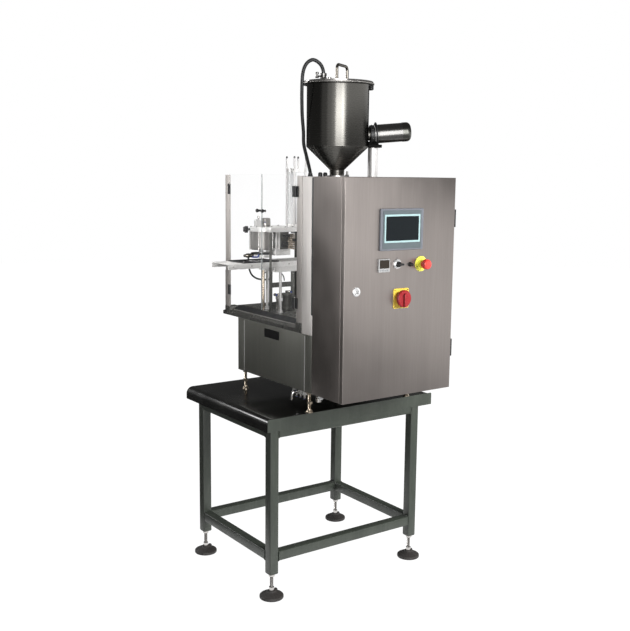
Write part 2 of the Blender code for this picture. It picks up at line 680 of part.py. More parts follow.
def make_head():
    """The top plate, the pressing cylinder under it, and the frame that carries both."""
    top = HEAD_TOP
    under = top - HEAD_PLATE
    pillar_y = SLIDE_NEAR - 0.020
    plate = machine_box("head_top_plate", "aluminium", (PILLAR_X, MAGAZINE_X - SLEEVE_RADIUS - 0.008),
                        (pillar_y - 0.002, STATION_Y + 0.052), (under, top))
    cut(plate, rod("cap_hole", "aluminium", SEAL_CAP_RADIUS + GAP, 0.060,
                   at(HEAD_X, STATION_Y, under - 0.020), sides=32))
    machine_box("head_pillar", "dark_steel", (PILLAR_X, PILLAR_X + PILLAR), (pillar_y, pillar_y + PILLAR),
                (FLOOR_LEVEL + GAP, under - GAP))
    r, bore, deep = SEAL_CYLINDER_RADIUS, RAM_RADIUS + 0.0006, 0.045
    low = HEAD_BOTTOM
    h = SEAL_CYLINDER_HEIGHT
    cap = SEAL_CAP_RADIUS
    full = h + HEAD_PLATE
    profile = [(0, 0), (r - 0.003, 0), (r, 0.003), (r, h), (cap, h), (cap, full - 0.003),
               (cap - 0.003, full), (0, full)]
    cylinder = turned("seal_cylinder", "dark_steel", profile, at(HEAD_X, STATION_Y, low), sides=32)
    cutter = rod("ram_bore", "dark_steel", bore, deep + 0.010, at(HEAD_X, STATION_Y, low - 0.010), sides=20)
    cut(cylinder, cutter)

    plate_x = (HEAD_X + r + 0.001, MAGAZINE_X - SLEEVE_RADIUS - 0.008)
    plate = machine_box("head_bottom_plate", "aluminium", plate_x,
                        (STATION_Y - 0.040, STATION_Y + 0.040), (low - 0.026, low))
    for n, x in enumerate((plate_x[0] + 0.008, plate_x[0] + 0.022)):
        pillar = machine_box(f"head_pillar_{n}", "aluminium", (x - 0.004, x + 0.004),
                             (STATION_Y - 0.036, STATION_Y - 0.026), (low - 0.006, under - GAP))
        join(plate, pillar)

    x0 = SLIDE_LEFT + SLIDE_LENGTH + 0.010
    y0, y1 = SLIDE_NEAR - 0.034, SLIDE_FAR + 0.034
    ys = [y0, y0 + 0.022, y1 - 0.022, y1]
    zs = [FLOOR_LEVEL + GAP, under - 0.030, under - 0.008]

    grid_solid("head_frame", "dark_steel", [x0, x0 + 0.040], ys, zs, lambda i, j, k: j != 1 or k == 1,
               at(0, 0, 0))


def make_ram():
    axis = pivot("ram_axis", at(HEAD_X, STATION_Y, HEAD_BOTTOM))
    h = SEAL_DIE_HEIGHT
    low = HEAD_BOTTOM - h - 0.014
    profile = [(0, 0), (SEAL_DIE_RADIUS - 0.002, 0), (SEAL_DIE_RADIUS, 0.002), (SEAL_DIE_RADIUS, h - 0.002),
               (SEAL_DIE_RADIUS - 0.002, h), (RAM_RADIUS, h), (RAM_RADIUS, h + 0.046), (0, h + 0.046)]
    turned("seal_die", "aluminium", profile, at(HEAD_X, STATION_Y, low), axis, sides=32)


def make_magazine():
    """A ring that carries four rods round a clear sleeve, on an arm from the head frame."""
    z1 = HEAD_TOP - 0.006
    z0 = z1 - 0.012
    outer = SLEEVE_RADIUS + 0.014
    x_end = SLIDE_LEFT + SLIDE_LENGTH + 0.040
    base = machine_box("magazine_base", "dark_steel", (MAGAZINE_X - SLEEVE_RADIUS - 0.007, x_end),
                       (STATION_Y - outer, STATION_Y + outer), (z0, z1))
    hole = rod("magazine_mouth", "dark_steel", SLEEVE_RADIUS - SLEEVE_WALL, 0.060,
               at(MAGAZINE_X, STATION_Y, z0 - 0.020), sides=28)
    for n in range(4):
        angle = radians(45 + 90 * n)
        reach = SLEEVE_RADIUS + 0.0065
        place = at(MAGAZINE_X + reach * cos(angle), STATION_Y + reach * sin(angle), z0 + 0.004)
        join(base, rod(f"magazine_rod_{n}", "polished", 0.004, MAGAZINE_ROD_HEIGHT, place, sides=10))
    cut(base, hole)
    r, t = SLEEVE_RADIUS, SLEEVE_WALL
    profile = [(r - t, 0), (r, 0), (r, SLEEVE_HEIGHT), (r - t, SLEEVE_HEIGHT)]
    turned("magazine_sleeve", "clear", profile, at(MAGAZINE_X, STATION_Y, z1 + GAP), sides=28, ring=True)


def make_head_fittings():
    x = 0.042 - GAP
    profile = [(0, 0), (0.004, 0), (0.004, 0.010), (0.011, 0.012), (0.0125, 0.020), (0.011, 0.028),
               (0.004, 0.030), (0, 0.030)]
    axis = pivot("speed_knob_axis", at(x, STATION_Y, HEAD_TOP - 0.010))
    turned("speed_knob", "black_plastic", profile, at(x, STATION_Y, HEAD_TOP - 0.010), axis,
           turn=(0, radians(-90), 0), sides=16)
    y = SLIDE_FAR + 0.006
    top = HEAD_BOTTOM - 0.034
    corners = [(0.085, top), (0.085, SLIDE_LEVEL - 0.012), (0.087, BED_LEVEL - 0.010),
               (0.100, BED_LEVEL - 0.042), (0.126, BED_LEVEL - 0.062), (0.160, BED_LEVEL - 0.070),
               (0.196 - GAP, BED_LEVEL - 0.071)]
    tube("heater_lead", "rubber", smooth_route([at(px, y + 0.006, pz) for px, pz in corners], 4), 0.004)


# ---------------------------------------------------------------- cabinet


def make_cabinet():
    w, d, h, t = CABINET_WIDTH, CABINET_DEPTH, CABINET_HEIGHT, SHEET
    front = DOOR_DEPTH + 0.0008
    neck = HOPPER_NECK_RADIUS - HOPPER_WALL - 0.001
    shell = grid_solid("cabinet_shell", "brushed", [0, t, w - t, w], [front, d - t, d], [0, t, h - t, h],
                       lambda i, j, k: j == 1 or i != 1 or k != 1, at(0, 0, 0))
    cut(shell, rod("roof_hole", "brushed", neck, 0.040, at(HOPPER_X, HOPPER_Y, h - 0.020), sides=24))


def make_door_hinges():
    for name, z in zip(("lower", "upper"), DOOR_HINGE_HEIGHTS):
        w = CABINET_WIDTH
        half = 0.035
        leaf = machine_box(f"door_hinge_{name}", "black_plastic", (w + GAP, w + 0.0035),
                           (DOOR_DEPTH, DOOR_DEPTH + 0.026), (z - half, z + half))
        knuckle = rod(f"door_knuckle_{name}", "black_plastic", 0.006, 2 * half,
                      at(w + 0.0065, DOOR_DEPTH - 0.005, z - half), sides=14)
        join(leaf, knuckle)


def on_door(name, slot, profile, spot, depth, parent, sides=24, ring=False):
    """A turned piece on the door, whose profile rises towards the person in front of it."""
    place = at(spot[0], -depth, spot[1])
    return turned(name, slot, profile, place, parent, turn=(radians(90), 0, 0), sides=sides, ring=ring)


def make_door():
    w, h, t = CABINET_WIDTH, CABINET_HEIGHT, SHEET
    axis = pivot("door_axis", at(w + 0.0065, DOOR_DEPTH - 0.005, 0))
    local = axis.location - at(0, 0, 0)
    xs = [x - local.x for x in (0, t, w - t, w)]
    ys = [y - local.y for y in (0, t, DOOR_DEPTH)]
    zs = [0, t, h - t, h]
    grid_solid("cabinet_door", "brushed", xs, ys, zs, lambda i, j, k: j == 0 or i != 1 or k != 1,
               axis.location, axis)
    make_door_hinges()

    def plate(name, slot, spot, size, thick):
        x = (spot[0] - size[0] / 2, spot[0] + size[0] / 2)
        z = (spot[1] - size[1] / 2, spot[1] + size[1] / 2)
        return machine_box(name, slot, x, (-thick, -GAP), z, axis)

    plate("touch_panel", "lilac", PANEL_AT, PANEL_SIZE, 0.007)
    plate("counter", "lilac", COUNTER_AT, COUNTER_SIZE, 0.009)
    plate("switch_plate", "yellow", SWITCH_AT, (SWITCH_PLATE, SWITCH_PLATE), 0.003)

    def axis_of(name, spot, depth=0.0):
        return pivot(name, at(spot[0], -depth, spot[1]), axis)

    lock = [(0, 0), (0.012, 0), (0.012, 0.004), (0.009, 0.008), (0, 0.008)]
    on_door("cam_lock", "chrome", lock, LOCK_AT, GAP, axis_of("lock_axis", LOCK_AT))
    switch = [(0, 0), (0.024, 0), (0.024, 0.010), (0.031, 0.012), (0.031, 0.021), (0.028, 0.024),
              (0, 0.024)]
    turner = axis_of("switch_axis", SWITCH_AT)
    handle = on_door("switch_handle", "red", switch, SWITCH_AT, 0.003 + GAP, turner)
    x, z = SWITCH_AT
    join(handle, machine_box("switch_grip", "red", (x - 0.006, x + 0.006), (-0.034, -0.020),
                             (z - 0.030, z + 0.024), turner))
    knob = [(0, 0), (0.0110, 0), (0.0110, 0.016), (0, 0.016)]
    turner = axis_of("selector_axis", SELECTOR_AT)
    selector = on_door("selector_knob", "black_plastic", knob, SELECTOR_AT, GAP, turner, sides=20)
    x, z = SELECTOR_AT
    join(selector, machine_box("selector_grip", "black_plastic", (x - 0.009, x + 0.014),
                               (-0.028, -0.012), (z - 0.004, z + 0.004), turner))
    button = [(0, 0), (0.0078, 0), (0.0078, 0.0105), (0.0065, 0.0115), (0, 0.0115)]
    on_door("push_button", "black_plastic", button, BUTTON_AT, 0.004,
            axis_of("button_axis", BUTTON_AT), sides=20)
    collar = [(0.0118, 0), (0.030, 0), (0.030, 0.003), (0.016, 0.0035), (0.016, 0.016), (0.0118, 0.016)]
    on_door("stop_plate", "yellow", collar, STOP_AT, GAP, axis, sides=28, ring=True)
    reach = STOP_REACH - 0.008
    head = [(0, 0), (0.0110, 0), (0.0110, 0.014), (0.0195, 0.018), (0.0195, reach - 0.006),
            (0.014, reach), (0, reach)]
    on_door("stop_button", "red", head, STOP_AT, 0.008, axis_of("stop_axis", STOP_AT))


# ---------------------------------------------------------------- hopper


def make_hopper():
    r, n, t = HOPPER_RADIUS, HOPPER_NECK_RADIUS, HOPPER_WALL
    foot, cone = GAP, NECK_HEIGHT
    barrel, rim = NECK_HEIGHT + CONE_HEIGHT, NECK_HEIGHT + CONE_HEIGHT + BARREL_HEIGHT
    top = rim + RIM_THICKNESS
    profile = [(n - t, foot), (n, foot), (n, cone), (r, barrel), (r, rim), (RIM_RADIUS, rim),
               (RIM_RADIUS, top), (r - t, top), (r - t, barrel + 0.001), (n - t, cone + 0.001)]
    place = at(HOPPER_X, HOPPER_Y, CABINET_ROOF)
    body = turned("hopper", "polished", profile, place, sides=36, ring=True)
    boss = [(0, 0), (0.022, 0), (0.022, 0.006), (0, 0.006)]
    join(body, turned("shaft_boss", "polished", boss, motor_point(r - 0.001), turn=motor_turn(), sides=20))
    cut(body, rod("shaft_hole", "polished", SHAFT_HOLE_RADIUS, 0.080, motor_point(r - 0.030),
                  turn=motor_turn(), sides=16))


def motor_point(distance, sideways=0.0):
    """A point on the agitator's axis, at this distance from the hopper's own axis."""
    rise = (distance - COLLAR_START) * tan(MOTOR_TILT)
    level = Matrix.Rotation(MOTOR_TURN, 3, "Z") @ Vector((distance, sideways, 0))
    return at(HOPPER_X, HOPPER_Y, CABINET_ROOF + MOTOR_HEIGHT + rise) + level


def motor_turn():
    """Turns a piece made along +Z onto the agitator's axis."""
    return (0, radians(90) - MOTOR_TILT, MOTOR_TURN)


def make_agitator():
    c, flange = COLLAR_RADIUS, COLLAR_FLANGE_RADIUS
    ring = [(SHAFT_HOLE_RADIUS, 0), (c - 0.003, 0), (c, 0.003), (c, COLLAR_LENGTH - COLLAR_FLANGE),
            (flange, COLLAR_LENGTH - COLLAR_FLANGE), (flange, COLLAR_LENGTH), (0.020, COLLAR_LENGTH),
            (0.020, COLLAR_LENGTH - 0.008), (SHAFT_HOLE_RADIUS, COLLAR_LENGTH - 0.008)]
    turned("motor_collar", "black_plastic", ring, motor_point(COLLAR_START), turn=motor_turn(), sides=28,
           ring=True)
    m, length, cap = MOTOR_RADIUS, MOTOR_LENGTH, MOTOR_LENGTH - MOTOR_CAP_LENGTH
    can = [(0, 0), (m, 0), (m, cap), (m + 0.001, cap + 0.001), (m + 0.001, length - 0.016)]
    can += [(m - 0.015 + 0.016 * cos(a), length - 0.016 + 0.016 * sin(a))
            for a in (radians(30), radians(60), radians(90))]
    can += [(0, length)]
    start = motor_point(COLLAR_START + (COLLAR_LENGTH + GAP) * cos(MOTOR_TILT))
    turned("agitator_motor", "polished", can, start, turn=motor_turn(), sides=28)
    middle = COLLAR_START + COLLAR_LENGTH / 2
    saddle_top = CABINET_ROOF + MOTOR_HEIGHT - COLLAR_FLANGE_RADIUS - 2 * GAP
    foot = motor_point(middle)
    foot.z = at(0, 0, CABINET_ROOF + GAP).z
    post = rod("motor_post", "polished", POST_RADIUS, saddle_top - SADDLE_HEIGHT / 2 - CABINET_ROOF, foot,
               sides=20)
    edge = motor_point(middle, -SADDLE_WIDTH / 2)
    edge.z = at(0, 0, saddle_top).z
    reach = COLLAR_LENGTH / 2
    join(post, prism("motor_saddle", "polished", [(-reach, -SADDLE_HEIGHT), (0.036, -SADDLE_HEIGHT),
                     (0.036, 0), (-reach, 0)], SADDLE_WIDTH, edge, turn=(0, 0, MOTOR_TURN)))

    inner, outer = -0.060, COLLAR_START + 0.014
    axis = pivot("agitator_axis", motor_point(COLLAR_START + 0.010))
    shaft = rod("agitator", "polished", SHAFT_RADIUS, (outer - inner) / cos(MOTOR_TILT), motor_point(inner),
                axis, turn=motor_turn(), sides=12)
    thick = 0.004
    for n, distance in enumerate((-0.040, 0.020)):
        blade = prism(f"agitator_blade_{n}", "polished", [(-0.012, -0.060), (0.012, -0.060), (0.012, 0.060),
                      (-0.012, 0.060)], thick, motor_point(distance, -thick / 2), axis,
                      turn=(0, -MOTOR_TILT, MOTOR_TURN))
        join(shaft, blade)


def half_disc(name, side, parent=None):
    """Half of the round lid. side is +1 for the flap, which faces the front right."""
    outline = []
    inner = 0.0012
    radius = RIM_RADIUS - 0.003
    lift = asin(inner / radius)
    for n in range(19):
        angle = lift + (pi - 2 * lift) * n / 18
        outline.append((radius * cos(angle), -side * radius * sin(angle)))
    mesh_data = bmesh.new()
    z = (GAP, GAP + LID_THICKNESS)
    turn = Matrix.Rotation(LID_TURN, 3, "Z")
    rings = [[mesh_data.verts.new(turn @ Vector((x, y, level))) for x, y in outline] for level in z]
    mesh_data.faces.new(rings[0])
    mesh_data.faces.new(rings[1])
    for n in range(len(outline)):
        m = (n + 1) % len(outline)
        mesh_data.faces.new((rings[0][n], rings[0][m], rings[1][m], rings[1][n]))
    return finish(name, mesh_data, "polished", at(HOPPER_X, HOPPER_Y, RIM_TOP), parent)


def make_lid():
    half_disc("hopper_lid_rear", -1)
    axis = pivot("lid_axis", at(HOPPER_X, HOPPER_Y, RIM_TOP + LID_HINGE_RISE))
    half_disc("hopper_lid_flap", 1, axis)
    along = Vector((cos(LID_TURN), sin(LID_TURN), 0))
    out = Vector((sin(LID_TURN), -cos(LID_TURN), 0))
    foot = at(HOPPER_X, HOPPER_Y, RIM_TOP + LID_THICKNESS + 2 * GAP) + out * 0.028 - along * 0.031
    half, bend, up = HANDLE_LENGTH / 2, 0.014, Vector((0, 0, 1))
    rise = HANDLE_HEIGHT - 0.005
    points = [foot - along * half, foot - along * half + up * (rise - bend)]
    for n in range(1, 5):
        a = pi / 2 * n / 4
        points.append(foot - along * (half - bend + bend * cos(a)) + up * (rise - bend + bend * sin(a)))
    points += [foot + (point - foot) - 2 * along * (point - foot).dot(along) for point in reversed(points)]
    tube("lid_handle", "polished", points, 0.005, axis)


def around_hopper(angle, beyond_rim, above_rim):
    a = radians(angle)
    reach = RIM_RADIUS + beyond_rim
    return at(HOPPER_X + reach * cos(a), HOPPER_Y + reach * sin(a), RIM_TOP + above_rim)


def above_wall(x, y, z):
    return at(x, WALL_FRONT + y, CABINET_HEIGHT + z)


def make_hose():
    """The air line from the elbow on the lid, over the rim and down to the bay wall."""
    hook = [around_hopper(-157.3, -0.029, 0.0262), around_hopper(-158.7, -0.028, 0.040),
            around_hopper(-162.8, -0.0246, 0.056), around_hopper(-168.3, -0.015, 0.068),
            around_hopper(-173.3, -0.004, 0.072), around_hopper(-178.8, 0.0073, 0.063),
            around_hopper(176.9, 0.0145, 0.044), around_hopper(173.4, 0.0160, 0.0166),
            around_hopper(169.8, 0.0135, -0.032), around_hopper(164.3, 0.0075, -0.080)]
    drop = [above_wall(-0.073, -0.039, 0.218), above_wall(-0.057, -0.024, 0.165),
            above_wall(-0.043, -0.007, 0.118), above_wall(-0.017, 0.010, 0.071),
            above_wall(0.005, 0.026, 0.036), above_wall(0.016, 0.033, 0.014)]
    tube("hopper_hose", "rubber", smooth_route(hook + drop, 3), HOSE_RADIUS)


clear_scene()
MATERIALS = make_materials()
make_table_frame()
make_table_top()
make_stand_feet()
make_base()
make_machine_feet()
make_air_manifold()
make_tray()
make_bay_wall()
make_posts()
make_guard_door("near", NEAR_POST, 1)
make_guard_door("far", FAR_POST, -1)
make_slide_stand()
make_station_bracket()
make_cup_lifter()
make_slide()
make_head()
make_ram()
make_magazine()
make_head_fittings()
make_cabinet()
make_door()
make_hopper()
make_agitator()
make_lid()
make_hose()
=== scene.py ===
"""Looks of a cup filling and sealing machine on its stand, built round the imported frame.

Metres, +Z up, in the frame's own coordinates: X runs right along the cabinet door, +Y runs from
the door to the sealing bay, and the floor is z = 0. at(x, y, z) counts from the door's lower left
front corner, and every piece is modelled where it stands, so its object stays at the origin.
"""

from math import cos, pi, radians, sin

import bmesh
import bpy
from mathutils import Matrix, Vector

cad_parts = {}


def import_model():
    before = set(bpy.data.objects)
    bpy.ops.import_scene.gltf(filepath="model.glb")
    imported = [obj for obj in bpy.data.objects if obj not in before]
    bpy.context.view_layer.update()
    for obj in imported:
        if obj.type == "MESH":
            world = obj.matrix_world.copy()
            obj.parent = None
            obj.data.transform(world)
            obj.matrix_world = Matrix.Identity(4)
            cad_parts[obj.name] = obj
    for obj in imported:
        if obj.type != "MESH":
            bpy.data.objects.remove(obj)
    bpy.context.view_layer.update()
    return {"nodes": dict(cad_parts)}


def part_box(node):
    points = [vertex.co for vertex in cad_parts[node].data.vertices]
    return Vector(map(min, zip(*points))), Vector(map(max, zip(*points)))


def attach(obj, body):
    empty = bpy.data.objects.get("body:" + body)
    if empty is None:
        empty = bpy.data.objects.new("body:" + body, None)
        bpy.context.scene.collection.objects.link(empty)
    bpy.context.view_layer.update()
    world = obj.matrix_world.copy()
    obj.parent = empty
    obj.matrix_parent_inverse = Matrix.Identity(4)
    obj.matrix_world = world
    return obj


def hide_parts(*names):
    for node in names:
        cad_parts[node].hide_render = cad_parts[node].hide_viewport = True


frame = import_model()

UP, DOWN = Vector((0, 0, 1)), Vector((0, 0, -1))
LEFT, RIGHT = Vector((-1, 0, 0)), Vector((1, 0, 0))
FORWARD = Vector((0, -1, 0))
CLEAR = 0.0003  # between pieces that touch

# Places that everything else is set out from
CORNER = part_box("cabinet_door")[0]
DOOR_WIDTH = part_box("cabinet_door")[1].x - CORNER.x
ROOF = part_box("cabinet_shell")[1].z - CORNER.z
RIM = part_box("hopper_lid_rear")[0].z - CORNER.z - CLEAR
STATION = (0.101, 0.733)
MAGAZINE = (0.282, 0.733)
HOPPER = (0.052, 0.123)
RIM_RADIUS = 0.133
LID_TURN = radians(31)
MOTOR_TILT, MOTOR_TURN = radians(5), radians(-30)
MOTOR_HEIGHT, COLLAR_START = 0.157, 0.122
WALL_FRONT = 0.212
TRAY_FLOOR = 0.2506
SLIDE_TOP = 0.4793
CAP_TOP = 0.6253
GUARD_AXES = {"near": 0.315, "far": 0.828}
GUARD_LEVELS = (("upper", 0.785), ("lower", 0.347))
GUARD_MEETING = 0.5615
DOOR_LEVELS = (("lower", 0.164), ("upper", 0.685))


def at(x, y, z):
    return CORNER + Vector((x, y, z))


def over(spot, height):
    """A point over a spot on the plan, at a height above the floor."""
    place = at(*spot, 0)
    place.z = height
    return place


def around(count, start=0):
    """Evenly spaced directions in the plane, as (cosine, sine), from a start in degrees."""
    angles = [radians(start + 360 * n / count) for n in range(count)]
    return [(cos(a), sin(a)) for a in angles]


def tree_node(tree, kind, links=(), **settings):
    """Adds a node. links pairs its sockets with values, or with the sockets that feed them."""
    made = tree.nodes.new(kind)
    for label, value in settings.items():
        setattr(made, label, value)
    for socket, source in links:
        if isinstance(source, bpy.types.NodeSocket):
            tree.links.new(source, made.inputs[socket])
        else:
            made.inputs[socket].default_value = source
    return made


# ------------------------------------------------------------------ finishes


class Finish:
    """A Principled material, with short ways to give it pattern and grain on Object coordinates."""

    def __init__(self, name, colour, roughness, metallic=0.0, **constants):
        self.material = bpy.data.materials.new(name)
        self.material.use_nodes = True
        self.tree = self.material.node_tree
        self.shader = self.tree.nodes["Principled BSDF"]
        self.colour = colour
        self.shader.inputs["Base Color"].default_value = (*colour, 1)
        self.shader.inputs["Roughness"].default_value = roughness
        self.shader.inputs["Metallic"].default_value = metallic
        for label, value in constants.items():
            self.shader.inputs[label.replace("_", " ")].default_value = value

    def node(self, kind, links=(), **settings):
        return tree_node(self.tree, kind, links, **settings)

    def noise(self, stretch, detail=3.0, rough=0.55, offset=0.0):
        """Noise between 0 and 1, with stretch waves to the metre along X, Y and Z."""
        place = self.node("ShaderNodeTexCoord").outputs["Object"]
        spread = self.node("ShaderNodeMapping", [("Vector", place), ("Scale", stretch),
                                                 ("Location", (offset, offset, offset))])
        made = self.node("ShaderNodeTexNoise", [("Vector", spread.outputs[0]), ("Scale", 1.0),
                                                ("Detail", detail), ("Roughness", rough)])
        return made.outputs["Fac"]

    def between(self, factor, low, high, start=0.3, end=0.7):
        made = self.node("ShaderNodeMapRange", [("Value", factor), ("From Min", start),
                                                ("From Max", end), ("To Min", low), ("To Max", high)])
        return made.outputs["Result"]

    def tint(self, factor, other):
        """Mixes the base colour towards another one."""
        made = self.node("ShaderNodeMix", data_type="RGBA")
        sockets = [s for s in made.inputs if s.type == "RGBA"]
        current = self.shader.inputs["Base Color"]
        if current.is_linked:
            self.tree.links.new(current.links[0].from_socket, sockets[0])
        else:
            sockets[0].default_value = current.default_value
        sockets[1].default_value = (*other, 1)
        self.tree.links.new(factor, made.inputs["Factor"])
        out = next(s for s in made.outputs if s.type == "RGBA")
        self.tree.links.new(out, current)

    def rough(self, factor, low, high):
        self.tree.links.new(self.between(factor, low, high), self.shader.inputs["Roughness"])

    def bump(self, height, distance, strength=1.0):
        made = self.node("ShaderNodeBump", [("Height", height), ("Distance", distance),
                                            ("Strength", strength)])
        previous = self.shader.inputs["Normal"]
        if previous.is_linked:
            self.tree.links.new(previous.links[0].from_socket, made.inputs["Normal"])
        self.tree.links.new(made.outputs["Normal"], previous)

    def level_grain(self, amount):
        """Stretches highlights level round upright faces, as upright brushing does."""
        normal = self.node("ShaderNodeNewGeometry").outputs["Normal"]
        cross = self.node("ShaderNodeVectorMath", [(0, UP), (1, normal)], operation="CROSS_PRODUCT")
        self.tree.links.new(cross.outputs["Vector"], self.shader.inputs["Tangent"])
        self.shader.inputs["Anisotropic"].default_value = amount


def brushed_finish(name, colour, roughness, streak, grain=0.65, metallic=1.0):
    """Stainless sheet, brushed upright: broad pale streaks, fine scratches and faint smudges."""
    made = Finish(name, colour, roughness, metallic)
    broad = made.noise((34, 34, 0.9), detail=4)
    fine = made.noise((620, 620, 7), detail=2, offset=3)
    smudge = made.noise((5, 5, 4), detail=3, offset=7)
    made.tint(made.between(broad, 0, streak), tuple(c * 1.35 for c in colour))
    made.tint(made.between(fine, 0, streak), tuple(c * 0.62 for c in colour))
    made.rough(smudge, roughness * 0.86, roughness * 1.16)
    made.bump(fine, 0.00012, 0.35)
    made.level_grain(grain)
    return made.material


def polished_finish(name, colour, roughness, grain=0.5, metallic=1.0, spun=False):
    """Polished metal. Spun metal has its grain round it, so its highlights stretch upright."""
    made = Finish(name, colour, roughness, metallic)
    made.shader.inputs["Anisotropic Rotation"].default_value = 0.25 if spun else 0.0
    lines = made.noise((18, 18, 420), detail=2)
    cloud = made.noise((9, 9, 6), detail=3, offset=2)
    made.tint(made.between(cloud, 0, 0.5), tuple(c * 0.8 for c in colour))
    spread = 0.04 if spun else 0.22
    made.rough(lines, roughness * (1 - spread), roughness * (1 + spread))
    made.bump(lines, 0.00004, 0.02 if spun else 0.3)
    made.level_grain(grain)
    return made.material


def machined_finish(name, colour, roughness):
    """Milled aluminium: close tool lines along X and a little clouding."""
    made = Finish(name, colour, roughness, 0.3)
    lines = made.noise((3, 900, 900), detail=1)
    cloud = made.noise((30, 30, 30), detail=3, offset=5)
    made.tint(made.between(cloud, 0, 0.6), tuple(c * 0.82 for c in colour))
    made.rough(lines, roughness * 0.85, roughness * 1.2)
    made.bump(lines, 0.00005, 0.4)
    return made.material


def painted_finish():
    """Satin grey-green paint: orange peel, uneven cover and paler runs."""
    colour = (0.060, 0.070, 0.056)
    made = Finish("stand_paint", colour, 0.42, 0.0, Coat_Weight=0.25, Coat_Roughness=0.25)
    cover = made.noise((14, 14, 5), detail=5)
    runs = made.noise((90, 90, 11), detail=3, offset=4)
    peel = made.noise((480, 480, 480), detail=2, offset=9)
    made.tint(made.between(cover, 0, 0.8), (0.036, 0.044, 0.035))
    made.tint(made.between(runs, 0, 0.35, 0.55, 0.8), (0.105, 0.115, 0.098))
    made.rough(cover, 0.34, 0.52)
    made.bump(peel, 0.0002, 0.25)
    return made.material


def laminate_finish():
    """Black gloss laminate with wiped smears and hair scratches."""
    made = Finish("black_laminate", (0.014, 0.014, 0.013), 0.16, 0.0, Specular_IOR_Level=0.45)
    smear = made.noise((6, 11, 6), detail=5)
    hair = made.noise((240, 16, 100), detail=2, offset=6)
    made.tint(made.between(smear, 0, 0.7, 0.45, 0.75), (0.034, 0.034, 0.032))
    made.rough(smear, 0.12, 0.24)
    made.bump(hair, 0.00004, 0.2)
    return made.material


def moulded_finish(name, colour, roughness, speckle=0.0, **constants):
    """Moulded plastic or rubber with a fine spark-eroded grain."""
    made = Finish(name, colour, roughness, 0.0, **constants)
    grain = made.noise((1500, 1500, 1500), detail=1)
    cloud = made.noise((40, 40, 40), detail=2, offset=3)
    made.tint(made.between(cloud, 0, 0.5), tuple(c * 0.84 for c in colour))
    made.rough(cloud, roughness * 0.88, roughness * 1.14)
    made.bump(grain, 0.00015, 0.25 + speckle)
    return made.material


def clear_finish(name, colour, alpha, roughness):
    made = Finish(name, colour, roughness, 0.0, Alpha=alpha)
    haze = made.noise((12, 12, 12), detail=4)
    made.rough(haze, roughness * 0.8, roughness * 1.4)
    return made.material


def woven_finish():
    """Tan glass-fibre sleeving on the heater's coiled lead."""
    made = Finish("woven_sleeving", (0.46, 0.39, 0.31), 0.6, 0.1)
    weave = made.noise((900, 900, 900), detail=1)
    made.tint(made.between(weave, 0, 1), (0.20, 0.16, 0.12))
    made.bump(weave, 0.0003, 0.6)
    return made.material


def screen_finish():
    """The dark display behind its glass."""
    made = Finish("screen_glass", (0.009, 0.012, 0.014), 0.16, 0.0, Specular_IOR_Level=0.12)
    smear = made.noise((30, 30, 30), detail=3)
    made.rough(smear, 0.08, 0.16)
    return made.material


